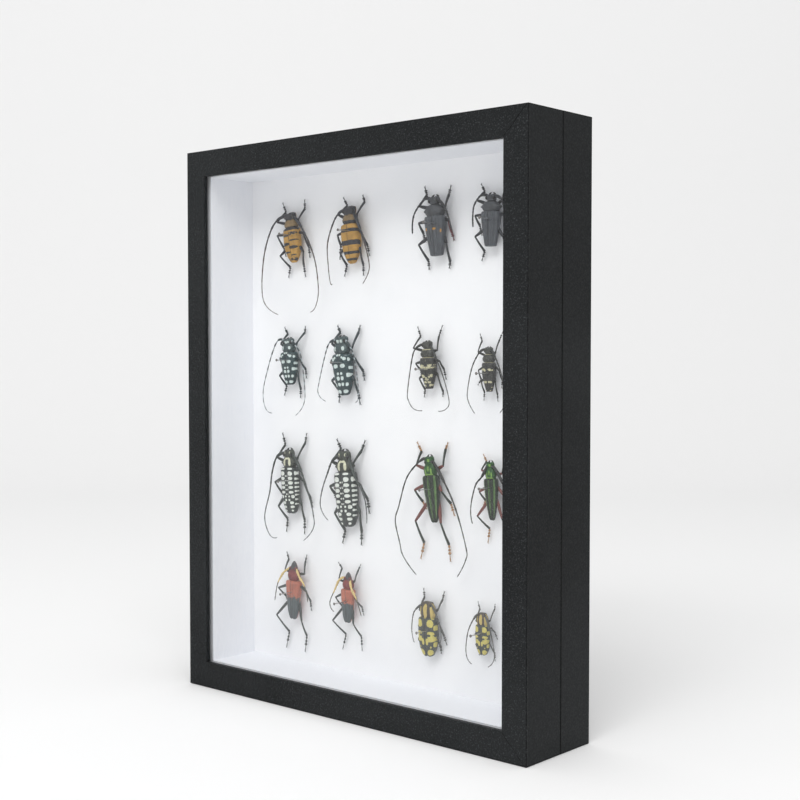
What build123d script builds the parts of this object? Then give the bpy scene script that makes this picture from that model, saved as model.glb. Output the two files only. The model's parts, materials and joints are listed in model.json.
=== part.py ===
from build123d import *
import os
from dataclasses import dataclass

# Insect specimen box: a glazed lift-off lid on a foam-lined base that holds sixteen pinned beetles.
# Frame: X to the right, Z up, the glass faces -Y. The origin is the middle of the bottom edge.
# All sizes are in millimetres.

# Outside of the closed box
BOX_WIDTH = 236.0
BOX_HEIGHT = 300.0
BOX_DEPTH = 51.0

# Lid: a grooved wooden frame in black book cloth
LID_DEPTH = 27.0
FRAME_FACE = 14.2
FLANGE_DEPTH = 2.1
CLOTH = 0.4
CLOTH_FOLD_RADIUS = 0.8
CLOTH_JOINT = 0.1
SEAM = 0.1
GLASS_THICKNESS = 2.0
GLASS_PLAY = 0.1
GROOVE_CUT = 2.0

# Base: walls, the papered neck that the lid slides over, foam and back
NECK_THICKNESS = 3.0
NECK_PLAY = 0.3
NECK_SHORT_OF_GLASS = 0.4
FOAM_THICKNESS = 11.6
PANEL_THICKNESS = 2.6
BACK_SHEET = 0.4

# Insect pins
PIN_RADIUS = 0.25
PIN_HEAD_RADIUS = 0.75
PIN_HEAD_DEPTH = 0.6
PIN_RISE = 17.2
PIN_IN_FOAM = 10.4
PIN_POINT = 1.6
PIN_TIP_RADIUS = 0.05
PIN_SIDES = 8
PIN_PLAY = 0.03
PIN_HOLE_SPARE = 0.5

# How the specimens sit: heights above the foam
BODY_HEIGHT = 5.0
KNEE_HEIGHT = 5.0
HIP_HEIGHT = 3.4
ANKLE_HEIGHT = 2.0
TOE_HEIGHT = 1.7
ANTENNA_BASE_HEIGHT = 5.4
ANTENNA_HEIGHT = 6.7
BODY_THICKNESS = 0.72

# Lines of the display: columns from the middle of the window, rows as shares of its height
COLUMNS = (-67.0, -25.0, 34.5, 72.0)
ROWS = (0.887, 0.629, 0.3895, 0.1429)

# Distances inwards from the outer edge of the box, and backwards from its front
LID_WALL = FRAME_FACE - NECK_THICKNESS - NECK_PLAY
NECK_OUTSIDE = FRAME_FACE - NECK_THICKNESS
GROOVE_FRONT = CLOTH + FLANGE_DEPTH
GROOVE_BACK = GROOVE_FRONT + GLASS_THICKNESS + 2 * GLASS_PLAY
GROOVE_FLOOR = LID_WALL - GROOVE_CUT
NECK_FRONT = GROOVE_BACK + NECK_SHORT_OF_GLASS
SHEET_FRONT = BOX_DEPTH - BACK_SHEET
PANEL_FRONT = SHEET_FRONT - PANEL_THICKNESS
FOAM_FRONT = PANEL_FRONT - FOAM_THICKNESS
WINDOW_WIDTH = BOX_WIDTH - 2 * FRAME_FACE
WINDOW_HEIGHT = BOX_HEIGHT - 2 * FRAME_FACE

# Each frame has four sides: outside middle, turn about Y that faces it inwards, and its length
SIDES = {
    "top": ((0, BOX_HEIGHT), 180, BOX_WIDTH),
    "bottom": ((0, 0), 0, BOX_WIDTH),
    "left": ((-BOX_WIDTH / 2, BOX_HEIGHT / 2), 90, BOX_HEIGHT),
    "right": ((BOX_WIDTH / 2, BOX_HEIGHT / 2), -90, BOX_HEIGHT),
}
SIDE_KINDS = {"top": "rail_top", "bottom": "rail_bottom", "left": "stile_left", "right": "stile_right"}


def depth_to_y(depth):
    """Y of a plane that lies this far behind the front of the box."""
    return depth - BOX_DEPTH / 2


def slab(width, height, front, back):
    """A sheet centred on the box, between two depths."""
    block = Box(width, back - front, height)
    return Pos(0, depth_to_y((front + back) / 2), BOX_HEIGHT / 2) * block


def profile(*corners):
    """A closed section from (inwards, depth) corners."""
    return Plane.YZ * Polygon(*[(depth_to_y(depth), inwards) for inwards, depth in corners], align=None)


def mitred_bar(section, side, joint=0.0):
    """The section run along one side of the frame, with 45 degree ends that leave a joint."""
    (x, z), turn, length = SIDES[side]
    bar = extrude(section, amount=length / 2, both=True)
    half = length / 2 - joint
    reach = 2 * FRAME_FACE
    outline = Polygon((-half, 0), (half, 0), (half - reach, reach), (reach - half, reach), align=None)
    wedge = extrude(Plane.XZ * outline, amount=BOX_DEPTH, both=True)
    return Pos(x, 0, z) * Rot(0, turn, 0) * (bar & wedge)


def lid_section():
    """Wall, front flange and the groove that takes the glass."""
    window = FRAME_FACE - CLOTH
    return profile(
        (CLOTH, CLOTH), (window, CLOTH), (window, GROOVE_FRONT), (GROOVE_FLOOR, GROOVE_FRONT),
        (GROOVE_FLOOR, GROOVE_BACK), (LID_WALL, GROOVE_BACK), (LID_WALL, LID_DEPTH), (CLOTH, LID_DEPTH),
    )


def lid_cloth_section():
    """Cloth down the side, over the face and round the edge of the window."""
    sheet = profile(
        (0, 0), (FRAME_FACE, 0), (FRAME_FACE, GROOVE_FRONT), (FRAME_FACE - CLOTH, GROOVE_FRONT),
        (FRAME_FACE - CLOTH, CLOTH), (CLOTH, CLOTH), (CLOTH, LID_DEPTH - SEAM), (0, LID_DEPTH - SEAM),
    )
    fold = sheet.vertices().sort_by_distance((0, depth_to_y(0), 0))[0]
    return fillet(fold, CLOTH_FOLD_RADIUS)


def base_section():
    """Plain wall from the seam back to the back sheet."""
    return profile(
        (CLOTH, LID_DEPTH), (NECK_OUTSIDE, LID_DEPTH), (NECK_OUTSIDE, SHEET_FRONT), (CLOTH, SHEET_FRONT),
    )


def base_cloth_section():
    """Cloth down the side of the base, ending flush with the back sheet."""
    return profile((0, LID_DEPTH + SEAM), (CLOTH, LID_DEPTH + SEAM), (CLOTH, BOX_DEPTH), (0, BOX_DEPTH))


def neck_section():
    """Board glued inside the base wall that reaches forward almost to the glass."""
    return profile(
        (NECK_OUTSIDE, NECK_FRONT), (FRAME_FACE, NECK_FRONT),
        (FRAME_FACE, PANEL_FRONT), (NECK_OUTSIDE, PANEL_FRONT),
    )


def case_parts():
    """Every piece of the lid and of the base, by node name."""
    parts = {}
    for side, kind in SIDE_KINDS.items():
        parts[f"lid_{kind}"] = mitred_bar(lid_section(), side)
        parts[f"base_{kind}"] = mitred_bar(base_section(), side)
        parts[f"neck_{side}"] = mitred_bar(neck_section(), side)
    for node, section in (("lid_covering", lid_cloth_section()), ("base_covering", base_cloth_section())):
        parts[node] = Compound(children=[mitred_bar(section, side, CLOTH_JOINT) for side in SIDES])
    margin = GROOVE_FLOOR + GLASS_PLAY
    front = GROOVE_FRONT + GLASS_PLAY
    parts["lid_glass"] = slab(BOX_WIDTH - 2 * margin, BOX_HEIGHT - 2 * margin, front, front + GLASS_THICKNESS)
    parts["foam_sheet"] = foam_sheet()
    parts["back_panel"] = slab(
        BOX_WIDTH - 2 * NECK_OUTSIDE, BOX_HEIGHT - 2 * NECK_OUTSIDE, PANEL_FRONT, SHEET_FRONT,
    )
    parts["back_sheet"] = slab(BOX_WIDTH - 2 * CLOTH, BOX_HEIGHT - 2 * CLOTH, SHEET_FRONT, BOX_DEPTH)
    return parts


def foam_sheet():
    """The foam between the neck boards, with a blind hole for each pin."""
    sheet = slab(WINDOW_WIDTH, WINDOW_HEIGHT, FOAM_FRONT, PANEL_FRONT)
    holes = [pin_place(item) * pin_hole(PIN_IN_FOAM + PIN_HOLE_SPARE, 0) for item in SPECIMENS]
    return sheet.cut(*holes)


@dataclass(frozen=True)
class Species:
    """Shape of one kind. Stations are (share of the length, share of the width) from the front.

    The socket is where an antenna leaves the head, in the same shares."""

    head: tuple
    pronotum: tuple
    wing_cases: tuple
    antenna_radii: tuple
    leg: float = 0.062
    side_point: float = 0.0
    socket: tuple = (0.06, 0.2)


@dataclass(frozen=True)
class Specimen:
    """One beetle. Points are (right, up) of its own zero, which is offset from its column and row.

    Each leg is a knee, an ankle and a toe, and each antenna its points after the head."""

    kind: str
    column: int
    row: int
    width: float
    front: tuple
    rear: tuple
    pin: tuple
    antennae: tuple
    legs: tuple
    offset: tuple = (0.0, 0.0)


SPECIES = {
    "banded": Species(
        head=((0, 0.52), (0.05, 0.64), (0.15, 0.6)),
        pronotum=((0.13, 0.6), (0.18, 0.72), (0.25, 0.8), (0.32, 0.7)),
        wing_cases=((0.3, 0.8), (0.35, 0.98), (0.66, 1.0), (0.84, 0.78), (0.95, 0.46), (1, 0.2)),
        antenna_radii=(0.58, 0.2),
    ),
    "grey": Species(
        head=((0.02, 0.32), (0.06, 0.46), (0.16, 0.46)),
        pronotum=((0.15, 0.48), (0.2, 0.8), (0.27, 0.9), (0.36, 0.76)),
        wing_cases=((0.34, 0.88), (0.39, 1.0), (0.52, 0.96), (0.7, 0.84), (0.94, 0.62), (1, 0.5)),
        antenna_radii=(0.5, 0.32),
        side_point=1.1,
        socket=(0.07, 0.14),
    ),
    "spotted": Species(
        head=((0, 0.5), (0.05, 0.62), (0.12, 0.54)),
        pronotum=((0.1, 0.54), (0.15, 0.66), (0.22, 0.78), (0.31, 0.68)),
        wing_cases=((0.29, 0.82), (0.36, 1.0), (0.56, 0.96), (0.76, 0.84), (0.91, 0.6), (1, 0.26)),
        antenna_radii=(0.52, 0.2),
    ),
    "yellow_barred": Species(
        head=((0, 0.48), (0.05, 0.62), (0.16, 0.54)),
        pronotum=((0.15, 0.58), (0.21, 0.76), (0.27, 0.88), (0.35, 0.76)),
        wing_cases=((0.34, 0.86), (0.4, 1.0), (0.62, 0.97), (0.82, 0.7), (0.97, 0.46), (1, 0.38)),
        antenna_radii=(0.5, 0.22),
    ),
    "white_marked": Species(
        head=((0, 0.42), (0.05, 0.56), (0.13, 0.56)),
        pronotum=((0.11, 0.56), (0.16, 0.68), (0.22, 0.74), (0.29, 0.66)),
        wing_cases=((0.27, 0.84), (0.31, 1.0), (0.62, 1.0), (0.84, 0.88), (0.95, 0.62), (1, 0.34)),
        antenna_radii=(0.72, 0.24),
        side_point=1.6,
    ),
    "green_striped": Species(
        head=((0, 0.42), (0.04, 0.54), (0.11, 0.5)),
        pronotum=((0.09, 0.5), (0.15, 0.68), (0.2, 0.76), (0.3, 0.72)),
        wing_cases=((0.28, 0.84), (0.33, 1.0), (0.5, 0.94), (0.72, 0.76), (0.9, 0.52), (1, 0.22)),
        antenna_radii=(0.5, 0.2),
        leg=0.078,
    ),
    "red_shouldered": Species(
        head=((0, 0.08), (0.07, 0.34), (0.15, 0.58)),
        pronotum=((0.13, 0.54), (0.2, 0.74), (0.27, 0.78), (0.34, 0.64)),
        wing_cases=((0.33, 0.88), (0.37, 1.0), (0.52, 0.95), (0.66, 0.84), (0.86, 0.68), (1, 0.3)),
        antenna_radii=(0.62, 0.25),
        socket=(0.12, 0.2),
    ),
    "marbled": Species(
        head=((0, 0.44), (0.03, 0.56), (0.07, 0.6)),
        pronotum=((0.04, 0.56), (0.1, 0.7), (0.2, 0.78), (0.3, 0.78)),
        wing_cases=((0.28, 0.86), (0.33, 0.96), (0.6, 1.0), (0.82, 0.88), (0.94, 0.62), (1, 0.32)),
        antenna_radii=(0.46, 0.22),
        socket=(0.04, 0.2),
        leg=0.055,
    ),
}

SPECIMENS = (
    Specimen(
        "banded", 0, 0, 10.8, (-0.5, 10.5), (2.6, -17.2), (3.0, -2.0),
        antennae=(
            ((-9, 7), (-15, 0.5), (-20, -12), (-22, -29), (-19.5, -39.5), (-8.5, -45.8)),
            ((9.5, 2.5), (16.5, -8), (21, -19), (23, -33), (21, -41.5), (16.7, -44.8)),
        ),
        legs=(
            ((-11, 6), (-7, 11.5), (-10, 17)), ((6, 6.5), (8, 12.5), (7.5, 17.5)),
            ((-11, -1.5), (-9, -8), (-7.5, -13)), ((9.5, -1), (11, -8.5), (11.5, -14.5)),
            ((-8.7, -13), (-3.6, -19.3), (-5.4, -25)), ((9.8, -11.5), (7, -18.5), (8, -25)),
        ),
    ),
    Specimen(
        "banded", 1, 0, 11.5, (0.3, 10.9), (2.5, -19.7), (3.2, -2.4),
        antennae=(
            ((-6, 7.5), (-10.5, 2), (-14.5, -8.5), (-14, -19.5), (-12.6, -28.5), (-11, -30)),
            ((9.5, -1.5), (13.5, -11), (16, -19.5), (15.7, -24.5), (11.5, -30.6)),
        ),
        offset=(2.5, 0),
        legs=(
            ((-8, 7), (-4, 11.7), (-7.3, 16.5)), ((5.8, 6.5), (8.6, 13), (7, 16.7)),
            ((-8.5, -3.8), (-8.9, -9), (-10, -16.5)), ((9, -3), (10.6, -10), (11.7, -15.5)),
            ((-6.5, -13.8), (-4.4, -20), (-6.5, -25.8)), ((8.5, -14), (7.6, -20), (7.4, -25.8)),
        ),
    ),
    Specimen(
        "grey", 2, 0, 12.2, (0.4, 12.1), (2.1, -18.7), (3.2, -2.5),
        antennae=(
            ((-4, 10.2), (-8.5, 7), (-12.2, 1.5), (-12.7, -7)),
            ((7.5, 6.5), (10.2, 2), (12.9, -6.5)),
        ),
        offset=(2, 0.5),
        legs=(
            ((-9.5, 7), (-7, 12.7), (-8.8, 17.2)), ((7.5, 5.5), (7.3, 11.7), (8.5, 16.5)),
            ((-10, -1.5), (-9.5, -6.2), (-8.5, -11)), ((9.8, -1), (9.1, -6.5), (10.5, -11)),
            ((-10, -12.5), (-6, -20.5), (-5.8, -25)), ((8.3, -12.5), (8.3, -21.5), (7.5, -24.8)),
        ),
    ),
    Specimen(
        "grey", 3, 0, 10.6, (0.4, 11), (-0.2, -15.2), (2.2, -2.0),
        antennae=(
            ((-5, 9.8), (-9, 5.5), (-9.9, 0.5), (-9.8, -5.3)),
            ((7.2, 7.5), (9.5, 2), (10, -3.5)),
        ),
        offset=(0.8, 0),
        legs=(
            ((-8.8, 8), (-6.1, 12.2), (-8.6, 16.2)), ((7, 7), (6.5, 12.5), (7.5, 16.5)),
            ((-9.8, 0.5), (-9.3, -4), (-8, -9)), ((9, 0), (8.5, -5.5), (10, -10)),
            ((-9.8, -9.8), (-6.1, -17), (-8.1, -21.5)), ((7.5, -11), (7.5, -18), (7, -22)),
        ),
    ),
    Specimen(
        "spotted", 0, 1, 11.2, (-0.2, 10.2), (1.4, -16), (2.6, -2.0),
        antennae=(
            ((-6.6, 9), (-10.8, 3.5), (-15.5, -7.5), (-19.3, -20), (-17.6, -29), (-12, -32)),
            ((7, 6), (11.3, 0), (14.3, -18), (13.3, -26.5), (6.8, -32.8)),
        ),
        offset=(-2, 1),
        legs=(
            ((-6.5, 7), (-3.8, 12.5), (-6.7, 16.2)), ((6.5, 7.5), (9.7, 13.2), (9.8, 16.7)),
            ((-7.2, -1), (-6, -7), (-5.5, -11)), ((9, -2), (10.3, -7), (10.5, -12)),
            ((-7.5, -10.8), (-4.8, -16.3), (-7, -22)), ((7.5, -11), (6.4, -18), (5.8, -23)),
        ),
    ),
    Specimen(
        "spotted", 1, 1, 12.8, (-0.9, 11), (1.9, -21), (3.0, -3.0),
        antennae=(
            ((-7.7, 7.7), (-11, 2), (-15.8, -13), (-16.8, -20), (-11, -24.3)),
            ((7.5, 5), (10.2, -0.5), (12.5, -11.5), (13.3, -21), (11, -24.3)),
        ),
        offset=(-2.5, 1),
        legs=(
            ((-8, 7), (-4.4, 13), (-6.8, 16.7)), ((7, 4.5), (9.1, 13), (10, 16.7)),
            ((-8.5, -2), (-7.5, -8), (-6.5, -13)), ((9.5, -1), (12.4, -7.5), (13, -12.5)),
            ((-8, -13), (-4.9, -18.5), (-5.8, -24.8)), ((9, -13), (8.6, -18.5), (9.9, -25.5)),
        ),
    ),
    Specimen(
        "yellow_barred", 2, 1, 9.2, (-0.3, 10.2), (1.3, -14.3), (2.2, -4.0),
        antennae=(
            ((-6.8, 6), (-9.3, 0), (-12.1, -16), (-11.4, -20.5), (-8, -24.5), (-2.1, -25.3)),
            ((6.7, 2), (11.9, -8.5), (15.5, -20), (13.5, -24), (8.4, -25.3)),
        ),
        offset=(-2, -1),
        legs=(
            ((-9.6, 6.5), (-7.2, 12.5), (-9.5, 17.5)), ((6.4, 5.5), (5, 12.5), (7, 18)),
            ((-8, -1.3), (-7.5, -4.3), (-6, -9)), ((8, 0), (8.3, -4), (9.5, -9.3)),
            ((-5.5, -9), (-4.2, -14.5), (-5, -18.5)), ((6.9, -7.5), (7.8, -15.5), (7.3, -18)),
        ),
    ),
    Specimen(
        "yellow_barred", 3, 1, 7.5, (-0.1, 9.6), (0.4, -12.5), (1.6, -3.2),
        antennae=(
            ((-4.8, 6.5), (-9.3, -1), (-12, -12.5), (-11.3, -17.5), (-7.3, -23.3)),
            ((5, 5), (9.5, -5), (11.5, -15.5), (8, -22.5)),
        ),
        offset=(-0.3, -3.5),
        legs=(
            ((-6.7, 7), (-6.5, 12.5), (-8, 16)), ((4.3, 7.5), (4.3, 13), (6, 17)),
            ((-6.4, -1.8), (-7, -6.5), (-9.3, -9.3)), ((6.4, -2), (6, -6.5), (5.5, -10.5)),
            ((-4.6, -7.5), (-5, -12.5), (-5.5, -16.8)), ((4.1, -7.5), (3.1, -13.5), (3.1, -17)),
        ),
    ),
    Specimen(
        "white_marked", 0, 2, 11.6, (-0.5, 14.2), (1.7, -22), (3.0, -3.0),
        antennae=(
            ((-8.6, 9.5), (-12.5, 1), (-14.6, -10.5), (-18.9, -25), (-15.1, -34.7), (-8.7, -36.1)),
            ((10.4, 3), (16.4, -9.5), (20, -20), (20.3, -28), (12.3, -36)),
        ),
        offset=(-1.5, 0),
        legs=(
            ((-10, 9), (-6.6, 16.2), (-9.2, 22.7)), ((6.5, 10), (9.4, 18), (10, 23.2)),
            ((-12, -5), (-9.1, -11.3), (-8, -17)), ((11, -3), (13.4, -12.5), (14.7, -17.5)),
            ((-9.2, -18.5), (-4.8, -25.5), (-6.2, -33)), ((9.5, -16.5), (8.7, -25), (8.3, -33)),
        ),
    ),
    Specimen(
        "white_marked", 1, 2, 13.6, (-0.9, 15.5), (2.5, -25.8), (3.6, -3.5),
        antennae=(
            ((-8.2, 9.5), (-11.9, 2.5), (-16, -7), (-17.2, -16), (-11.3, -23)),
            ((9, 1.5), (13.2, -4), (16.5, -12), (17.3, -22.5)),
        ),
        offset=(-0.5, 0),
        legs=(
            ((-10, 9), (-5.9, 15.7), (-9.5, 21)), ((6, 9), (9, 15.5), (11.5, 21.2)),
            ((-11.5, -4.5), (-11.4, -8), (-9, -13)), ((11.3, -2.5), (13.6, -10), (14.5, -17.5)),
            ((-8, -19), (-2.9, -28), (-5.3, -35.3)), ((11, -17.5), (9.2, -27.5), (8.7, -35)),
        ),
    ),
    Specimen(
        "green_striped", 2, 2, 9.6, (-1.4, 15.7), (2.4, -18.3), (2.2, -0.6),
        antennae=(
            ((-6, 13), (-15, 4), (-20.5, -11), (-23, -19), (-20, -30), (-17.5, -37), (-8.5, -45.8)),
            ((9.7, 3.5), (17.4, -10), (24.1, -29), (23.7, -35), (18.3, -44)),
        ),
        offset=(0.5, 0),
        legs=(
            ((-9.9, 10.5), (-9.1, 17.5), (-12.3, 22)), ((7.8, 11.2), (7, 19.5), (8.2, 22.7)),
            ((-11.2, -2.3), (-8.2, -8.3), (-6, -12)), ((6.8, -1.8), (10.5, -8), (12.5, -14)),
            ((-10.6, -18.3), (-7.2, -29.5), (-9.8, -38)), ((6.3, -18), (9.3, -29), (10, -37.5)),
        ),
    ),
    Specimen(
        "green_striped", 3, 2, 7.6, (-0.7, 15), (0.7, -14), (1.6, 2.6),
        antennae=(
            ((-4.6, 7.5), (-8.7, 2.7), (-11.5, -8), (-10.4, -16.3)),
            ((7.8, 5.5), (11, -4), (12, -10), (11, -16)),
        ),
        offset=(1.5, 0),
        legs=(
            ((-6.2, 10.5), (-5.3, 14.5), (-7.6, 18)), ((6.5, 9.5), (6, 15), (7.5, 19)),
            ((-7.5, -0.3), (-6, -4.5), (-7.8, -9.5)), ((7.5, -1), (8, -7), (9.5, -12)),
            ((-8.7, -12.5), (-3.3, -18.5), (-4.6, -25.8)), ((6.5, -12.5), (8.5, -20), (8.5, -26)),
        ),
    ),
    Specimen(
        "red_shouldered", 0, 3, 10.0, (1.4, 14.7), (0.5, -18.3), (2.4, -2.4),
        antennae=(
            ((-5.1, 8), (-8.4, 4), (-10.7, 0), (-12.8, -9.3)),
            ((7.1, 6.5), (11.3, 1.5), (13.8, -7)),
        ),
        offset=(0.5, 4),
        legs=(
            ((-6, 9), (-6.1, 14.5), (-8, 18.5)), ((9.5, 8.2), (7.2, 14.5), (8, 18.2)),
            ((-11.5, -1.8), (-8.6, -6.3), (-7, -10)), ((11, -1.5), (11.1, -7), (11.5, -12.5)),
            ((-13, -17.5), (-5.8, -26.5), (-8.5, -36)), ((7, -18.3), (8.2, -27), (6.5, -36.3)),
        ),
    ),
    Specimen(
        "red_shouldered", 1, 3, 8.6, (1.2, 13), (0.5, -14.7), (2.0, -2.5),
        antennae=(
            ((-3.9, 8.5), (-7.5, 2.5), (-11.2, -5), (-8, -9.5)),
            ((5, 4.5), (8.6, -0.8), (12.2, -9.3)),
        ),
        offset=(0.5, 4),
        legs=(
            ((-6, 8), (-6.4, 14), (-9.5, 16.7)), ((6, 9), (5.6, 14), (7.1, 17.2)),
            ((-8.5, -1.8), (-6.9, -6.3), (-5.5, -10)), ((7.5, -2), (8.4, -5.5), (9.3, -9.8)),
            ((-10.7, -14.8), (-3.4, -21.8), (-6.3, -30.5)), ((4.7, -14.7), (7.9, -21.5), (8.2, -29.3)),
        ),
    ),
    Specimen(
        "marbled", 2, 3, 11.2, (-0.2, 11.2), (0.4, -17.3), (2.4, -3.0),
        antennae=(
            ((-6.8, 6.5), (-8.9, 2.5), (-9.6, -5), (-7.9, -11)),
            ((6.7, 5.5), (9.3, -1), (10, -6), (8.5, -11)),
        ),
        offset=(-1.5, -3),
        legs=(
            ((-6, 6), (-5, 12.2), (-5.8, 16.7)), ((6.8, 8), (7, 12.2), (8, 16.7)),
            ((-6.5, -2), (-6, -7), (-5, -11)), ((7.3, 1), (7.8, -5.5), (9.7, -10.5)),
            ((-6.5, -9), (-5.5, -14), (-4.5, -18)), ((6.5, -7), (6, -12), (6, -15.5)),
        ),
    ),
    Specimen(
        "marbled", 3, 3, 7.9, (-0.3, 12), (0, -9.4), (1.6, 2.4),
        antennae=(
            ((-4.5, 8.5), (-8.3, 1), (-9.3, -9.5), (-5.6, -14.3)),
            ((5.5, 4.5), (8.2, -6), (7.7, -11), (4.4, -14.3)),
        ),
        offset=(-3.5, -5),
        legs=(
            ((-4.5, 7), (-4.3, 12.7), (-5.8, 16.2)), ((4.5, 8.5), (5, 14), (4.9, 16.2)),
            ((-5, 0.5), (-4.5, -3.5), (-3.8, -7)), ((5.3, 5), (5, 2.5), (6.4, -1)),
            ((-4.5, -4.5), (-4, -8.5), (-5, -10.5)), ((4, -2.5), (5, -8), (5, -12)),
        ),
    ),
)

# Sections across the body for a half width of one: the wing cases meet in a groove along the back
WING_CASE_HALF = ((0.16, 0.98), (0.62, 0.8), (0.98, 0.2), (0.6, -0.8))
WING_CASE_GROOVE = ((0, 0.88),)
CHEST_HALF = ((0.5, 0.95), (0.95, 0.3), (0.55, -0.8))

# Where the legs leave the body, as (share of the length, share of the width)
HIPS = ((0.22, 0.2), (0.4, 0.26), (0.62, 0.26))

# Thickness of a leg at the hip, the middle of the femur, the knee, the ankle and the toe
LEG_TAPER = (0.95, 1.25, 0.75, 0.75, 0.45)
LEG_SIDES = 4
ANTENNA_SIDES = 3

# The points on the sides of a pronotum start this far inside it
SIDE_POINT_ROOT = 1.2
SIDE_POINT_RADII = (1.1, 0.25)


def place_of(item):
    """Where a specimen's own zero lies on the face of the foam."""
    right, up = item.offset
    z = FRAME_FACE + WINDOW_HEIGHT * ROWS[item.row]
    return Pos(COLUMNS[item.column] + right, depth_to_y(FOAM_FRONT), z + up)


def pin_place(item):
    return place_of(item) * Pos(item.pin[0], 0, item.pin[1])


def at(point, height):
    """A point of a specimen, right and up of its own zero and this high above the foam."""
    return Vector(point[0], -height, point[1])


def corners(plane, radius, sides):
    """Corners of a regular polygon on a plane, in order round it."""
    return [plane.from_local_coords(Vector(radius, 0).rotate(Axis.Z, 360 * i / sides)) for i in range(sides)]


def flat_faced_solid(rings):
    """The solid through matching rings of corners, with a flat face for each step between two."""
    faces = [Face(Wire.make_polygon(ring)) for ring in (rings[0], rings[-1])]
    for near, far in zip(rings, rings[1:]):
        for i in range(len(near)):
            faces.append(Face(Wire.make_polygon((near[i - 1], near[i], far[i], far[i - 1]))))
    return Solid(Shell(faces))


def body_form(item, stations, half, crest=()):
    """One part of the body: the same section carried along the body at each station's width."""
    heading, right = body_axes(item)
    ring = list(crest) + list(half) + [(-side, rise) for side, rise in reversed(half)]
    rings = []
    for share, width in stations:
        reach = item.width * width / 2
        section = Plane(origin=body_point(item, share, 0, BODY_HEIGHT), x_dir=right, z_dir=heading)
        rings.append([
            section.from_local_coords(Vector(side * reach, rise * reach * BODY_THICKNESS))
            for side, rise in ring
        ])
    return flat_faced_solid(rings)


def body_axes(item):
    """Directions along the body to the rear, and to its right as seen from the front."""
    heading = (at(item.rear, 0) - at(item.front, 0)).normalized()
    return heading, Vector(0, -1, 0).cross(heading)


def body_point(item, share, sideways, height):
    """A point at a share of the body's length, sideways by a share of its width."""
    front, rear = at(item.front, height), at(item.rear, height)
    return front + (rear - front) * share + body_axes(item)[1] * (sideways * item.width)


def limb(joints, radii, sides):
    """A tapering limb through its joints, mitred at each bend so that every face stays flat."""
    runs = [(end - start).normalized() for start, end in zip(joints, joints[1:])]
    rings = [corners(Plane(origin=joints[0], x_dir=(0, -1, 0), z_dir=runs[0]), radii[0], sides)]
    for i in range(1, len(joints)):
        mitre = runs[i - 1] + runs[min(i, len(runs) - 1)]
        rings.append(carried(rings[-1], joints[i - 1], joints[i], 1 - radii[i] / radii[i - 1], mitre))
    return flat_faced_solid(rings)


def carried(ring, start, end, narrowing, normal):
    """The ring carried from start on to the plane across end, narrowing on the way."""
    moved = []
    for corner in ring:
        path = (end - start) + (start - corner) * narrowing
        moved.append(corner + path * (normal.dot(end - corner) / normal.dot(path)))
    return moved


def leg(item, index):
    """Femur, tibia and tarsus of one leg. Legs go front to rear, left then right."""
    share, sideways = HIPS[index // 2]
    side = -1 if index % 2 == 0 else 1
    hip = body_point(item, share, side * sideways, HIP_HEIGHT)
    knee, ankle, toe = item.legs[index]
    knee = at(knee, KNEE_HEIGHT)
    joints = [hip, (hip + knee) / 2, knee, at(ankle, ANKLE_HEIGHT), at(toe, TOE_HEIGHT)]
    thick = SPECIES[item.kind].leg * item.width
    return limb(joints, [thick * share for share in LEG_TAPER], LEG_SIDES)


def antenna(item, side):
    """One antenna: a thick first joint out of the head, then a taper back beside the body."""
    species = SPECIES[item.kind]
    share, sideways = species.socket
    joints = [body_point(item, share, side * sideways, ANTENNA_BASE_HEIGHT)]
    joints += [at(point, ANTENNA_HEIGHT) for point in item.antennae[max(side, 0)]]
    thick, thin = species.antenna_radii
    steps = len(joints) - 2
    radii = [thick] + [thick + (thin - thick) * i / steps for i in range(steps + 1)]
    return limb(joints, radii, ANTENNA_SIDES)


def side_point(item, species, side):
    """The sharp point on one side of the pronotum, where the kind has them."""
    share, width = species.pronotum[2]
    root = body_point(item, share, side * (width / 2 - SIDE_POINT_ROOT / item.width), BODY_HEIGHT)
    tip = body_point(item, share, side * (width / 2 + species.side_point / item.width), BODY_HEIGHT)
    return limb([root, tip], SIDE_POINT_RADII, LEG_SIDES)


def beetle(item):
    """One whole specimen with the hole that its pin passes through."""
    species = SPECIES[item.kind]
    body = body_form(item, species.wing_cases, WING_CASE_HALF, WING_CASE_GROOVE)
    pieces = [body_form(item, species.head, CHEST_HALF), body_form(item, species.pronotum, CHEST_HALF)]
    if species.side_point:
        pieces += [side_point(item, species, side) for side in (-1, 1)]
    pieces += [leg(item, index) for index in range(len(item.legs))]
    pieces += [antenna(item, side) for side in (-1, 1)]
    whole = body.fuse(*pieces)
    whole = whole.cut(Pos(item.pin[0], 0, item.pin[1]) * pin_hole(0, PIN_RISE))
    return place_of(item) * whole


def pin_hole(below, above):
    """A running hole for a pin, this far into the foam and this far in front of it."""
    section = Plane.XZ.offset(-below) * RegularPolygon(PIN_RADIUS + PIN_PLAY, PIN_SIDES)
    return extrude(section, amount=below + above)


def pin():
    """An insect pin: flared head, straight shaft and a ground point."""
    stations = (
        (PIN_RISE, PIN_HEAD_RADIUS), (PIN_RISE - PIN_HEAD_DEPTH, PIN_RADIUS),
        (PIN_POINT - PIN_IN_FOAM, PIN_RADIUS), (-PIN_IN_FOAM, PIN_TIP_RADIUS),
    )
    rings = [corners(Plane.XZ.offset(height), radius, PIN_SIDES) for height, radius in stations]
    return flat_faced_solid(rings)


def specimen_parts():
    """Beetles and pins by node name, numbered along the rows from the top left."""
    parts = {}
    ordered = sorted(SPECIMENS, key=lambda item: (item.row, item.column))
    for number, item in enumerate(ordered, start=1):
        parts[f"beetle_{number:02d}_{item.kind}"] = beetle(item)
        parts[f"pin_{number:02d}"] = pin_place(item) * pin()
    return parts


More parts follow.
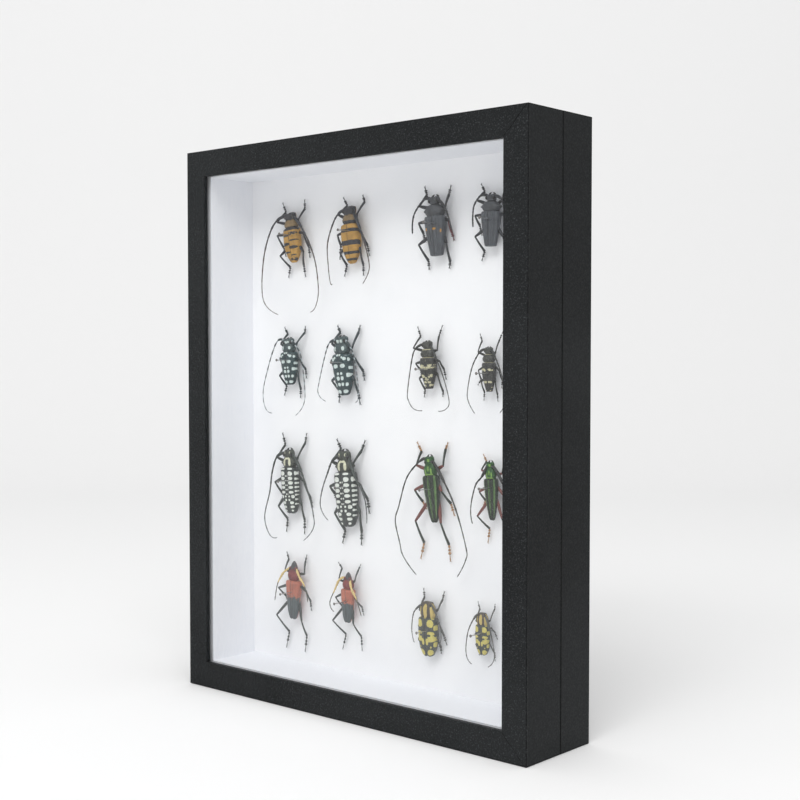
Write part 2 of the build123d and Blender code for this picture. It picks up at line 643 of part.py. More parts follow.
def main():
    os.makedirs("parts", exist_ok=True)
    for node, solid in {**case_parts(), **specimen_parts()}.items():
        export_step(solid, f"parts/{node}.step")


main()
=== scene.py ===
"""Insect specimen box: a black glazed box with long-horned beetles on pins in white foam.

Sizes in the classes are in millimetres, and meshes are in metres. X runs to the right, Z up,
and the glass faces -Y. The origin is the middle of the bottom edge.
"""

import json
import logging
import math
from collections.abc import Callable
from dataclasses import dataclass, replace
from enum import Enum
from functools import lru_cache

import bmesh
import bpy
from mathutils import Matrix, Vector

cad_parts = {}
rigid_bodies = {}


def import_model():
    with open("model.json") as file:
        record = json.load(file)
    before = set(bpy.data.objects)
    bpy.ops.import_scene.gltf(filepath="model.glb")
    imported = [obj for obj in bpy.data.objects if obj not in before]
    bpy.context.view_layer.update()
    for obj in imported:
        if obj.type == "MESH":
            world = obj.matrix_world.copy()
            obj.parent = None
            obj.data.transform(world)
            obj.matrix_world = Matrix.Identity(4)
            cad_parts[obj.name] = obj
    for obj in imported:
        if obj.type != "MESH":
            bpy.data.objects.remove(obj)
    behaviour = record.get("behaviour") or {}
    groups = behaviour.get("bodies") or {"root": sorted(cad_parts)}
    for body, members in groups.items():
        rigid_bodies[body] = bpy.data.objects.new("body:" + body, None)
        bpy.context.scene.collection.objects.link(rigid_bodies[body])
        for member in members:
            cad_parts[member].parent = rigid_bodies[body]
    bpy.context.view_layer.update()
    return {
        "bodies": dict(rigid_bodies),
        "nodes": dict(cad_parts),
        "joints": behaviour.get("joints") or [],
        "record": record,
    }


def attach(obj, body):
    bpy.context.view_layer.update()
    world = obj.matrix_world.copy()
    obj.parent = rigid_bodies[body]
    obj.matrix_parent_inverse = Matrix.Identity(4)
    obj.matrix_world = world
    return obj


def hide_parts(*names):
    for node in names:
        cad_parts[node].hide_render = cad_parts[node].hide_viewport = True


LOG = logging.getLogger("specimen_box")
MM = 0.001

Pair = tuple[float, float]
Triple = tuple[float, float, float]
Colour = Triple
Seen = tuple[int, int, int]
Mark = tuple[float, ...]
Socket = bpy.types.NodeSocket
Material = bpy.types.Material

PANE_HAZE = 0.075
DARKEST = 0.008


class Kind(Enum):
    """The kinds of beetle, by the name that their nodes and material slots carry."""

    BANDED = "banded"
    GREY = "grey"
    SPOTTED = "spotted"
    YELLOW_BARRED = "yellow_barred"
    WHITE_MARKED = "white_marked"
    GREEN_STRIPED = "green_striped"
    RED_SHOULDERED = "red_shouldered"
    MARBLED = "marbled"


class Part(Enum):
    """Material slots of a beetle's mesh, in order."""

    SHELL = 0
    CHEST = 1
    FEMUR = 2
    SHIN = 3
    FOOT = 4
    ANTENNA = 5
    EYE = 6
    RUDDY = 7


def shade(red: int, green: int, blue: int) -> Colour:
    """A colour as seen on screen, 0 to 255, turned into linear light.

    Args:
        red: Red on screen.
        green: Green on screen.
        blue: Blue on screen.

    Returns:
        The linear colour.
    """
    values = []
    for value in (red, green, blue):
        c = value / 255
        values.append(c / 12.92 if c <= 0.04045 else ((c + 0.055) / 1.055) ** 2.4)
    return tuple(values)


def behind_glass(red: int, green: int, blue: int) -> Colour:
    """A colour as seen through the pane, less the pale reflection that the pane adds.

    Args:
        red: Red on screen.
        green: Green on screen.
        blue: Blue on screen.

    Returns:
        The linear colour of the thing itself.
    """
    return tuple(max(value - PANE_HAZE, DARKEST) for value in shade(red, green, blue))


def darker(colour: Colour, share: float) -> Colour:
    """A colour cut to a share of its light.

    Args:
        colour: The colour.
        share: How much of it stays.

    Returns:
        The darker colour.
    """
    return tuple(value * share for value in colour)


def hump(value: float, middle: float, spread: float) -> float:
    """A smooth hump, 1 at its middle and falling off to both sides.

    Args:
        value: Where it is read.
        middle: Where it is highest.
        spread: How far from the middle it has fallen to about a third.

    Returns:
        Its height there.
    """
    return math.exp(-(((value - middle) / spread) ** 2))


class Surface:
    """A material's nodes, with short calls for those that the finishes share."""

    MIX_FIRST, MIX_SECOND, MIX_RESULT = 6, 7, 2

    def __init__(self, name: str) -> None:
        """Starts a material with a principled shader.

        Args:
            name: Name of the material.
        """
        self.material = bpy.data.materials.new(name)
        self.material.use_nodes = True
        self.tree = self.material.node_tree
        self.tree.nodes.clear()
        self.output = self.tree.nodes.new("ShaderNodeOutputMaterial")
        self.shader = self.tree.nodes.new("ShaderNodeBsdfPrincipled")
        self.join(self.shader.outputs["BSDF"], self.output.inputs["Surface"])
        self.object = self.node("ShaderNodeTexCoord").outputs["Object"]

    def join(self, source: Socket, target: Socket) -> None:
        """Links two sockets."""
        self.tree.links.new(source, target)

    def node(self, kind: str, **settings: object) -> bpy.types.Node:
        """Adds a node.

        Args:
            kind: Blender's name for the type of node.
            **settings: Properties to set on it.

        Returns:
            The node.
        """
        made = self.tree.nodes.new(kind)
        for key, value in settings.items():
            setattr(made, key, value)
        return made

    def feed(self, socket: Socket, value: object) -> None:
        """Links a socket to another one or sets its value.

        Args:
            socket: The input.
            value: An output socket, a number or a colour.
        """
        if isinstance(value, Socket):
            self.join(value, socket)
        elif isinstance(value, tuple) and len(value) == 3 and socket.type == "RGBA":
            socket.default_value = (*value, 1.0)
        else:
            socket.default_value = value

    def set(self, name: str, value: object) -> None:
        """Feeds one input of the principled shader."""
        self.feed(self.shader.inputs[name], value)

    def math(self, operation: str, first: object, second: object = 0.0) -> Socket:
        """One step of arithmetic.

        Args:
            operation: Name of the operation.
            first: First value or socket.
            second: Second value or socket, where the operation takes one.

        Returns:
            The result.
        """
        made = self.node("ShaderNodeMath", operation=operation)
        for socket, value in zip(made.inputs, (first, second)):
            self.feed(socket, value)
        return made.outputs[0]

    def split(self, vector: Socket) -> list[Socket]:
        """The three coordinates of a vector."""
        made = self.node("ShaderNodeSeparateXYZ")
        self.join(vector, made.inputs[0])
        return list(made.outputs)

    def noise(self, scale: float, detail: float = 2.0, roughness: float = 0.5, stretch: Triple | None = None) -> Socket:
        """Soft noise on object coordinates.

        Args:
            scale: Cycles to the metre.
            detail: Number of octaves.
            roughness: Share of each next octave.
            stretch: Factors along X, Y and Z, where the noise isn't even.

        Returns:
            The noise, 0 to 1.
        """
        made = self.node("ShaderNodeTexNoise")
        made.inputs["Scale"].default_value = scale
        made.inputs["Detail"].default_value = detail
        made.inputs["Roughness"].default_value = roughness
        vector = self.object
        if stretch:
            mapping = self.node("ShaderNodeMapping")
            mapping.inputs["Scale"].default_value = stretch
            self.join(vector, mapping.inputs["Vector"])
            vector = mapping.outputs[0]
        self.join(vector, made.inputs["Vector"])
        return made.outputs["Fac"]

    def cells(self, scale: float, feature: str = "F1") -> Socket:
        """Distance to the middle of random cells on object coordinates.

        Args:
            scale: Cells to the metre.
            feature: Which distance is measured.

        Returns:
            The distance.
        """
        made = self.node("ShaderNodeTexVoronoi", feature=feature)
        made.inputs["Scale"].default_value = scale
        self.join(self.object, made.inputs["Vector"])
        return made.outputs["Distance"]

    def attribute(self, name: str) -> Socket:
        """A number stored on the mesh."""
        return self.node("ShaderNodeAttribute", attribute_name=name).outputs["Fac"]

    def window(self, value: object, low: float, high: float, start: float = 0.0, end: float = 1.0) -> Socket:
        """A value carried smoothly from one range to another, and held at its ends.

        Args:
            value: Value or socket.
            low: Where the change starts.
            high: Where it ends.
            start: Result at low.
            end: Result at high.

        Returns:
            The result.
        """
        made = self.node("ShaderNodeMapRange", interpolation_type="SMOOTHSTEP")
        for socket, number in zip(made.inputs, (value, low, high, start, end)):
            self.feed(socket, number)
        return made.outputs[0]

    def mix(self, factor: object, first: object, second: object) -> Socket:
        """A mix of two colours.

        Args:
            factor: Share of the second one.
            first: Colour or socket.
            second: Colour or socket.

        Returns:
            The mixed colour.
        """
        made = self.node("ShaderNodeMix", data_type="RGBA")
        self.feed(made.inputs[0], factor)
        self.feed(made.inputs[self.MIX_FIRST], first)
        self.feed(made.inputs[self.MIX_SECOND], second)
        return made.outputs[self.MIX_RESULT]

    def bump(self, height: object, distance: float, strength: float = 1.0) -> None:
        """Raises the surface by a height, on top of any bump that it has.

        Args:
            height: Socket with the height, 0 to 1.
            distance: Full height in metres.
            strength: Share of the effect.
        """
        made = self.node("ShaderNodeBump")
        made.inputs["Distance"].default_value = distance
        made.inputs["Strength"].default_value = strength
        self.feed(made.inputs["Height"], height)
        normal = self.shader.inputs["Normal"]
        if normal.is_linked:
            self.join(normal.links[0].from_socket, made.inputs["Normal"])
        self.join(made.outputs[0], normal)


@dataclass(frozen=True)
class Leatherette:
    """Black pebbled covering: painted glints on its front grain, a darker line along its outer edges, and painted shade
    in the creases of its mitres and at the lid's seam.

    Distances are in metres, and each pair says where a change starts and ends.
    """

    ground: Colour = shade(22, 24, 25)
    worn: Colour = shade(31, 33, 34)
    # Dark colour of the line along the outer edges, and of the painted shade at the lid's seam and in the mitre
    # creases.
    dark_edge_and_shade: Colour = shade(7, 8, 9)
    # Colour of the painted glints on the grain.
    painted_glint: Colour = shade(84, 87, 90)
    grain: float = 1150.0
    shine: float = 0.14
    front_skin: Pair = (0.0004, 0.001)
    turned_edge: Pair = (-0.0007, -0.0002)
    seam_shadow: Pair = (0.0004, 0.0009)
    crease_line: Pair = (0.0001, 0.0006)
    crease_shift: float = 0.0007
    crease_wobble: float = 0.0022
    relief: float = 0.0003

    def material(self, box: "BoxSizes") -> Material:
        """Makes the finish.

        Args:
            box: Outside sizes, which say where the edges are.

        Returns:
            The material.
        """
        s = Surface("leatherette")
        x, y, z = s.split(s.object)
        side = s.math("SUBTRACT", s.math("ABSOLUTE", x), box.width * MM / 2)
        end = s.math("SUBTRACT", s.math("ABSOLUTE", s.math("SUBTRACT", z, box.height * MM / 2)), box.height * MM / 2)
        face = s.math("SUBTRACT", s.math("ABSOLUTE", y), box.depth * MM / 2)
        edge = s.math("MAXIMUM", s.math("MINIMUM", side, end), s.math("MINIMUM", s.math("MAXIMUM", side, end), face))
        patch = s.noise(110.0, 4.0, 0.7)
        stitched = s.window(s.noise(700.0, 2.0), 0.42, 0.55, 0.35, 0.95)
        turned = s.math("MULTIPLY", s.window(edge, *self.turned_edge), stitched)
        front = self.front(s, box, y, 0.25)
        # Painted shade in the groove at the lid's seam, added to the darker line along the outer edges.
        seam = s.math("ABSOLUTE", s.math("SUBTRACT", y, (box.lid - box.depth / 2) * MM))
        turned = s.math("MAXIMUM", turned, s.window(seam, *self.seam_shadow, 0.95, 0.0))
        grain = s.cells(self.grain, "SMOOTH_F1")
        # Painted glints: pale specks of the pebbled grain, full on the front face and a quarter as strong on the
        # others.
        painted_glint = s.math("MULTIPLY", s.window(s.noise(1300.0, 3.0, 0.7), 0.53, 0.7, 0.0, 0.5), front)
        tone = s.mix(s.window(s.noise(14.0, 3.0), 0.3, 0.7), self.ground, self.worn)
        tone = s.mix(painted_glint, tone, self.painted_glint)
        crease = self.crease(s, box, (x, y, z))
        # Painted shade along the mitre creases, broken up by a noise.
        tone = s.mix(s.math("MULTIPLY", crease, s.window(patch, 0.35, 0.6, 0.4, 1.0)), tone, self.dark_edge_and_shade)
        s.set("Base Color", s.mix(turned, tone, self.dark_edge_and_shade))
        s.set("Roughness", s.window(grain, 0.1, 0.6, 0.5, 0.68))
        s.set("Specular IOR Level", self.shine)
        s.bump(s.math("MULTIPLY", grain, front), self.relief, 0.9)
        s.bump(s.noise(420.0, 3.0), self.relief / 3, 0.6)
        s.bump(crease, self.relief, 0.9)
        return s.material

    def front(self, s: Surface, box: "BoxSizes", y: Socket, rest: float) -> Socket:
        """A mask of the front face.

        Args:
            s: The material in hand.
            box: Outside sizes.
            y: Place from front to back.
            rest: The mask's value behind the front face.

        Returns:
            1 on the front face, and the rest value behind it.
        """
        near, far = (deep - box.depth * MM / 2 for deep in self.front_skin)
        return s.window(y, near, far, 1.0, rest)

    def crease(self, s: Surface, box: "BoxSizes", place: tuple[Socket, Socket, Socket]) -> Socket:
        """The folded-over mitres at the two right-hand corners of the lid: the mask of their relief and of the painted
        shade in their creases.

        Args:
            s: The material in hand.
            box: Outside sizes.
            place: X, Y and Z of the surface.

        Returns:
            1 on the crease line and 0 off it.
        """
        x, y, z = place
        inwards = s.math("SUBTRACT", box.width * MM / 2, x)
        down = s.math("MINIMUM", s.math("SUBTRACT", box.height * MM, z), z)
        wobble = s.math("MULTIPLY", s.math("SUBTRACT", s.noise(160.0, 3.0), 0.5), self.crease_wobble)
        mitre = s.math("SUBTRACT", s.math("SUBTRACT", inwards, down), self.crease_shift)
        line = s.window(s.math("ABSOLUTE", s.math("ADD", mitre, wobble)), *self.crease_line, 1.0, 0.0)
        on_face = s.window(inwards, (box.face - box.cloth) * MM, box.face * MM, 1.0, 0.0)
        return s.math("MULTIPLY", s.math("MULTIPLY", line, on_face), self.front(s, box, y, 0.0))


@dataclass(frozen=True)
class Fibrous:
    """Paper, wood or pressed board: fibres in two tones, with a slight relief."""

    name: str
    ground: Colour
    fibre: Colour
    scale: float
    detail: float = 4.0
    fineness: float = 0.65
    stretch: Triple | None = None
    contrast: tuple[float, float, float, float] = (0.3, 0.7, 0.0, 1.0)
    rough: float = 0.6
    relief: Pair = (0.00008, 0.4)
    waves: Pair | None = None

    def material(self) -> Material:
        """Makes the finish."""
        s = Surface(self.name)
        fibres = s.noise(self.scale, self.detail, self.fineness, self.stretch)
        s.set("Base Color", s.mix(s.window(fibres, *self.contrast), self.ground, self.fibre))
        s.set("Roughness", self.rough)
        s.bump(fibres, *self.relief)
        if self.waves:
            s.bump(s.noise(24.0, 2.0), *self.waves)
        return s.material


SOFTWOOD = Fibrous("softwood", shade(222, 193, 148), shade(186, 146, 98), 260.0, stretch=(1.0, 6.0, 0.08))
STAINED = replace(SOFTWOOD, name="stained_softwood", ground=shade(58, 54, 50), fibre=shade(40, 37, 34))
WHITE_PAPER = Fibrous(
    "white_paper", shade(246, 247, 251), shade(238, 240, 246), 900.0, fineness=0.6, stretch=(1.0, 1.0, 0.25),
    contrast=(0.35, 0.75, 0.0, 0.6), rough=0.62, relief=(0.00004, 0.4), waves=(0.0002, 0.25),
)
BLACK_PAPER = replace(WHITE_PAPER, name="black_paper", ground=shade(44, 45, 46), fibre=shade(56, 57, 58))
HARDBOARD = Fibrous(
    "hardboard", shade(150, 112, 78), shade(112, 80, 54), 700.0, detail=5.0, fineness=0.7, rough=0.7,
    relief=(0.00008, 0.5),
)


@dataclass(frozen=True)
class Foam:
    """White foam of very fine cells, faintly uneven."""

    colour: Colour = shade(247, 247, 249)
    pore: Colour = shade(236, 237, 241)

    def material(self) -> Material:
        """Makes the finish."""
        s = Surface("white_foam")
        pores = s.cells(2300.0)
        clouds = s.noise(32.0, 3.0)
        tone = s.mix(s.window(clouds, 0.35, 0.7, 0.0, 0.35), self.colour, self.pore)
        s.set("Base Color", s.mix(s.window(pores, 0.05, 0.4, 0.5, 0.0), tone, self.pore))
        s.set("Roughness", 0.85)
        s.bump(pores, 0.00006, 0.5)
        return s.material


@dataclass(frozen=True)
class ClearPane:
    """Window glass that lets light straight through and shows a faint reflection, strengthened by a painted gain that
    grows towards the bottom.
    """

    tint: Colour = (0.992, 0.995, 0.994)
    polish: float = 0.03
    index: float = 1.45
    # Heights in metres between which the painted reflection gain runs, and the gain at each of them.
    heights: Pair = (0.175, 0.05)
    reflection_gain: Pair = (1.2, 2.7)
    smears: Pair = (0.85, 1.0)

    def material(self) -> Material:
        """Makes the finish. Only the side that faces the viewer reflects."""
        s = Surface("clear_glass")
        s.tree.nodes.remove(s.shader)
        through = s.node("ShaderNodeBsdfTransparent")
        through.inputs["Color"].default_value = (*self.tint, 1.0)
        gloss = s.node("ShaderNodeBsdfGlossy")
        gloss.inputs["Roughness"].default_value = self.polish
        fresnel = s.node("ShaderNodeFresnel")
        fresnel.inputs["IOR"].default_value = self.index
        # Painted reflection: the reflection's share is raised by a gain that grows towards the bottom of the pane, and
        # varies with faint smudges.
        reflection_by_height = s.window(s.split(s.object)[2], *self.heights, *self.reflection_gain)
        smudge_and_reflection_gain = s.window(s.noise(6.0, 3.0, 0.6, (1.0, 1.0, 2.5)), 0.35, 0.75, *self.smears)
        smudge_and_reflection_gain = s.math("MULTIPLY", smudge_and_reflection_gain, reflection_by_height)
        outside = s.math("SUBTRACT", 1.0, s.node("ShaderNodeNewGeometry").outputs["Backfacing"])
        share = s.math("MULTIPLY", s.math("MULTIPLY", fresnel.outputs[0], smudge_and_reflection_gain), outside)
        blend = s.node("ShaderNodeMixShader")
        s.join(share, blend.inputs[0])
        s.join(through.outputs[0], blend.inputs[1])
        s.join(gloss.outputs[0], blend.inputs[2])
        s.join(blend.outputs[0], s.output.inputs["Surface"])
        return s.material


@dataclass(frozen=True)
class PinMetal:
    """Bright pin wire and the dull lacquered head on it."""

    name: str
    colour: Colour
    metal: float
    rough: float

    def material(self) -> Material:
        """Makes the finish."""
        s = Surface(self.name)
        streaks = s.noise(1500.0, 3.0, 0.6, (1.0, 0.06, 1.0))
        s.set("Base Color", s.mix(s.window(streaks, 0.35, 0.7), self.colour, darker(self.colour, 0.7)))
        s.set("Metallic", self.metal)
        s.set("Roughness", s.window(streaks, 0.3, 0.7, self.rough, self.rough + 0.12))
        s.bump(streaks, 0.00001, 0.3)
        return s.material


@dataclass(frozen=True)
class ShellLook:
    """Relief of one kind's body and limbs, and its colours as seen on screen through the pane."""

    ground: Seen
    mark: Seen
    chest: Seen
    limb: Seen
    chest_mark: Seen | None = None
    femur: Seen | None = None
    foot: Seen | None = None
    feeler: Seen | None = None
    feeler_tip: Seen | None = None
    feeler_turn: Pair = (0.1, 0.6)
    ringed: Seen | None = None
    rough: float = 0.42
    metal: float = 0.0
    ridges: float = 0.0
    pits: float = 0.5
    ragged: float = 0.1
    speck: float = 620.0


@dataclass(frozen=True)
class BodyFinish:
    """The wing cases or the chest and head of one kind."""

    DULLED = (0.72, 0.7, 0.66)
    # Colour of the painted shade in the groove between the wing cases.
    SEAM_SHADE = (0.008, 0.008, 0.008)
    RIDGES = 2.5

    kind: Kind
    look: ShellLook
    chest: bool

    def material(self) -> Material:
        """Makes the finish.

        Returns:
            The material, which reads the marks stored on the mesh.
        """
        part = "chest" if self.chest else "shell"
        s = Surface(f"{self.kind.value}_{part}")
        look = self.look
        ground = behind_glass(*(look.chest if self.chest else look.ground))
        colour = behind_glass(*((self.chest and look.chest_mark) or look.mark))
        dull = tuple(value * share for value, share in zip(colour, self.DULLED))
        tone = s.mix(s.window(s.noise(260.0, 4.0, 0.6), 0.35, 0.7, 0.0, 0.8), ground, darker(ground, 0.6))
        ragged = s.math("MULTIPLY", s.math("SUBTRACT", s.noise(look.speck, 3.0, 0.6), 0.5), look.ragged * 4)
        mark = s.window(s.math("ADD", s.attribute("mark"), ragged), -0.05, 0.05)
        tone = s.mix(mark, tone, s.mix(s.window(s.noise(900.0, 3.0), 0.4, 0.75, 0.0, 0.7), colour, dull))
        if not self.chest:
            # Painted shade in the groove of the seam between the wing cases.
            seam = s.window(s.math("ABSOLUTE", s.attribute("across")), 0.012, 0.05, 0.85, 0.0)
            tone = s.mix(seam, tone, self.SEAM_SHADE)
        s.set("Base Color", tone)
        s.set("Metallic", look.metal)
        s.set("Roughness", s.window(s.noise(500.0, 3.0), 0.3, 0.7, look.rough - 0.06, look.rough + 0.12))
        s.bump(s.window(s.cells(1500.0), 0.05, 0.3), 0.00008, look.pits)
        s.bump(s.noise(380.0, 4.0, 0.6), 0.00018, 0.4)
        if look.ridges and not self.chest:
            wave = s.math("COSINE", s.math("MULTIPLY", s.attribute("across"), math.tau * self.RIDGES))
            s.bump(wave, 0.00022 * look.ridges, 0.9)
        return s.material


@dataclass(frozen=True)
class LimbFinish:
    """A leg part or a feeler, with a colour that may change along it."""

    RINGS = 11.0

    name: str
    seen: Seen
    tip: Seen | None = None
    turn: Pair = (0.1, 0.6)
    ringed: Seen | None = None
    rough: float = 0.45

    def material(self) -> Material:
        """Makes the finish.

        Returns:
            The material, which reads how far along the limb a point is.
        """
        s = Surface(self.name)
        colour = behind_glass(*self.seen)
        tone = s.mix(s.window(s.noise(800.0, 3.0), 0.4, 0.7, 0.0, 0.7), colour, darker(colour, 0.65))
        if self.tip:
            tone = s.mix(s.window(s.attribute("along"), *self.turn), tone, behind_glass(*self.tip))
        if self.ringed:
            ring = s.math("FRACT", s.math("MULTIPLY", s.attribute("along"), self.RINGS))
            tone = s.mix(s.window(ring, 0.34, 0.48, 0.95, 0.0), tone, behind_glass(*self.ringed))
        s.set("Base Color", tone)
        s.set("Roughness", self.rough)
        s.bump(s.cells(2600.0), 0.00006, 0.5)
        return s.material


@dataclass(frozen=True)
class EyeFinish:
    """Dark, finely faceted eye."""

    facet: Colour = (0.02, 0.018, 0.016)
    gap: Colour = (0.006, 0.006, 0.006)

    def material(self) -> Material:
        """Makes the finish."""
        s = Surface("beetle_eye")
        facets = s.cells(7000.0)
        s.set("Base Color", s.mix(s.window(facets, 0.1, 0.5), self.facet, self.gap))
        s.set("Roughness", 0.2)
        s.set("Coat Weight", 0.4)
        s.bump(facets, 0.00002, 0.5)
        return s.material


LOOKS: dict[Kind, ShellLook] = {
    Kind.BANDED: ShellLook(
        ground=(195, 156, 98), mark=(85, 85, 88), chest=(150, 131, 104),
        limb=(83, 84, 88), feeler_tip=(112, 104, 100), rough=0.5, pits=0.9, ragged=0.2,
    ),
    Kind.GREY: ShellLook(
        ground=(106, 109, 113), mark=(204, 156, 98), chest=(100, 102, 105),
        limb=(84, 85, 87), rough=0.42, ridges=1.0, pits=0.8, ragged=0.2,
    ),
    Kind.SPOTTED: ShellLook(
        ground=(84, 95, 97), mark=(214, 226, 224), chest=(94, 104, 105),
        limb=(84, 90, 92), feeler_tip=(112, 116, 118), ringed=(176, 184, 188),
        rough=0.36, ragged=0.12,
    ),
    Kind.YELLOW_BARRED: ShellLook(
        ground=(92, 92, 91), mark=(206, 202, 172), chest=(98, 99, 96),
        limb=(86, 87, 86), feeler_tip=(116, 116, 114), rough=0.46, ragged=0.42, speck=900.0,
    ),
    Kind.WHITE_MARKED: ShellLook(
        ground=(86, 90, 89), mark=(232, 236, 230), chest=(96, 99, 94),
        chest_mark=(222, 222, 198), limb=(90, 94, 92), feeler_tip=(112, 115, 116),
        rough=0.34,
    ),
    # Its bright chest marks are painted highlights on the metallic pronotum and head, on top of their green.
    Kind.GREEN_STRIPED: ShellLook(
        ground=(66, 87, 80), mark=(112, 137, 100), chest=(72, 108, 78),
        chest_mark=(140, 172, 104), limb=(80, 86, 82), femur=(134, 96, 92),
        foot=(180, 144, 112), feeler=(68, 74, 70), feeler_tip=(94, 96, 92),
        rough=0.3, metal=0.25, ragged=0.12, ridges=0.9,
    ),
    Kind.RED_SHOULDERED: ShellLook(
        ground=(196, 126, 108), mark=(98, 106, 108), chest=(142, 86, 86),
        chest_mark=(94, 94, 96), limb=(86, 91, 90), feeler=(232, 206, 146),
        feeler_tip=(104, 104, 98), feeler_turn=(0.42, 0.52), rough=0.38, ridges=0.6,
    ),
    Kind.MARBLED: ShellLook(
        ground=(92, 95, 93), mark=(214, 202, 122), chest=(98, 92, 86),
        chest_mark=(208, 187, 124), limb=(100, 101, 99), feeler_tip=(116, 116, 114),
        rough=0.38, ragged=0.16, speck=480.0,
    ),
}


@dataclass(frozen=True)
class Form:
    """Half widths of one part of the body, as (share of the length, share of the width).

    A blunt end is squarer than a round one, whose bluntness is 2.
    """

    stations: tuple[Pair, ...]
    front_cap: float = 0.25
    rear_cap: float = 0.25
    blunt: float = 2.0

    def width_at(self, share: float) -> float:
        """The width share at a share of the body's length, smoothly between the stations.

        Args:
            share: Share of the body's length.

        Returns:
            Share of the body's width.
        """
        points = self.stations
        last = len(points) - 1
        index = max(i for i in range(last) if i == 0 or points[i][0] <= share)
        (x1, y1), (x2, y2) = points[index], points[index + 1]
        before, after = points[max(index - 1, 0)], points[min(index + 2, last)]
        span = x2 - x1
        slope1 = (y2 - before[1]) / max(x2 - before[0], 1e-6) * span
        slope2 = (after[1] - y1) / max(after[0] - x1, 1e-6) * span
        t = min(max((share - x1) / span, 0.0), 1.0)
        return (
            y1 * (2 * t**3 - 3 * t**2 + 1) + slope1 * (t**3 - 2 * t**2 + t)
            + y2 * (3 * t**2 - 2 * t**3) + slope2 * (t**3 - t**2)
        )


@dataclass(frozen=True)
class Build:
    """Proportions of one kind, the same as the solid model's."""

    head: Form
    pronotum: Form
    cases: Form
    feeler_radii: Pair
    leg: float = 0.062
    side_point: float = 0.0
    socket: Pair = (0.06, 0.2)
    swollen: float = 0.0
    notch: float = 0.02
    jaws: float = 0.6


BUILDS: dict[Kind, Build] = {
    Kind.BANDED: Build(
        head=Form(((0, 0.6), (0.05, 0.68), (0.15, 0.62)), 0.1, 0.2, 5.0),
        pronotum=Form(((0.13, 0.6), (0.18, 0.72), (0.25, 0.8), (0.32, 0.7)), 0.12, 0.12),
        cases=Form(((0.3, 0.84), (0.35, 0.98), (0.66, 1.0), (0.84, 0.78), (0.95, 0.5), (1, 0.36)), 0.04, 0.08, 2.6),
        feeler_radii=(0.68, 0.22), jaws=0.4,
    ),
    Kind.GREY: Build(
        head=Form(((0.02, 0.34), (0.06, 0.48), (0.16, 0.46)), 0.25, 0.2, 2.8),
        pronotum=Form(((0.15, 0.52), (0.2, 0.8), (0.27, 0.9), (0.36, 0.78)), 0.14, 0.12),
        cases=Form(((0.34, 0.92), (0.39, 1.0), (0.52, 0.96), (0.7, 0.84), (0.94, 0.64), (1, 0.58)), 0.03, 0.04, 3.0),
        feeler_radii=(0.62, 0.42), side_point=1.1, socket=(0.07, 0.14), jaws=1.0,
    ),
    Kind.SPOTTED: Build(
        head=Form(((0, 0.52), (0.05, 0.64), (0.12, 0.54)), 0.2, 0.2, 3.4),
        pronotum=Form(((0.1, 0.54), (0.15, 0.66), (0.22, 0.78), (0.31, 0.68)), 0.12, 0.12),
        cases=Form(((0.29, 0.86), (0.36, 1.0), (0.56, 0.96), (0.76, 0.84), (0.91, 0.62), (1, 0.42)), 0.04, 0.07, 2.6),
        feeler_radii=(0.52, 0.2),
    ),
    Kind.YELLOW_BARRED: Build(
        head=Form(((0, 0.5), (0.05, 0.63), (0.16, 0.54)), 0.25, 0.2, 3.0),
        pronotum=Form(((0.15, 0.58), (0.21, 0.76), (0.27, 0.88), (0.35, 0.76)), 0.12, 0.12),
        cases=Form(((0.34, 0.9), (0.4, 1.0), (0.62, 0.97), (0.82, 0.72), (0.97, 0.48), (1, 0.44)), 0.03, 0.04, 3.0),
        feeler_radii=(0.5, 0.22), jaws=0.3,
    ),
    Kind.WHITE_MARKED: Build(
        head=Form(((0, 0.44), (0.05, 0.58), (0.13, 0.56)), 0.22, 0.2, 3.0),
        pronotum=Form(((0.11, 0.56), (0.16, 0.68), (0.22, 0.74), (0.29, 0.66)), 0.12, 0.12),
        cases=Form(((0.27, 0.86), (0.31, 1.0), (0.62, 1.0), (0.84, 0.88), (0.95, 0.64), (1, 0.44)), 0.03, 0.06, 2.6),
        feeler_radii=(0.72, 0.24), side_point=1.6, jaws=0.8,
    ),
    Kind.GREEN_STRIPED: Build(
        head=Form(((0, 0.42), (0.04, 0.55), (0.11, 0.5)), 0.2, 0.2, 2.8),
        pronotum=Form(((0.09, 0.5), (0.15, 0.68), (0.2, 0.76), (0.3, 0.72)), 0.1, 0.1),
        cases=Form(((0.28, 0.88), (0.33, 1.0), (0.5, 0.94), (0.72, 0.76), (0.9, 0.54), (1, 0.34)), 0.03, 0.06, 2.4),
        feeler_radii=(0.6, 0.26), leg=0.078, notch=0.03, jaws=0.9,
    ),
    Kind.RED_SHOULDERED: Build(
        head=Form(((0, 0.16), (0.07, 0.36), (0.15, 0.56)), 0.3, 0.2),
        pronotum=Form(((0.13, 0.54), (0.2, 0.74), (0.27, 0.78), (0.34, 0.66)), 0.12, 0.12),
        cases=Form(((0.33, 0.9), (0.37, 1.0), (0.52, 0.95), (0.66, 0.84), (0.86, 0.7), (1, 0.42)), 0.03, 0.07, 2.6),
        feeler_radii=(0.5, 0.25), socket=(0.12, 0.2), swollen=0.9, notch=0.0, jaws=0.0,
    ),
    Kind.MARBLED: Build(
        head=Form(((0, 0.44), (0.03, 0.56), (0.07, 0.6)), 0.4, 0.2, 2.6),
        pronotum=Form(((0.015, 0.5), (0.08, 0.7), (0.2, 0.78), (0.3, 0.78)), 0.2, 0.1, 2.4),
        cases=Form(((0.28, 0.88), (0.33, 0.96), (0.6, 1.0), (0.82, 0.88), (0.94, 0.64), (1, 0.46)), 0.03, 0.07, 2.4),
        feeler_radii=(0.46, 0.22), leg=0.055, socket=(0.04, 0.2), notch=0.0, jaws=0.0,
    ),
}


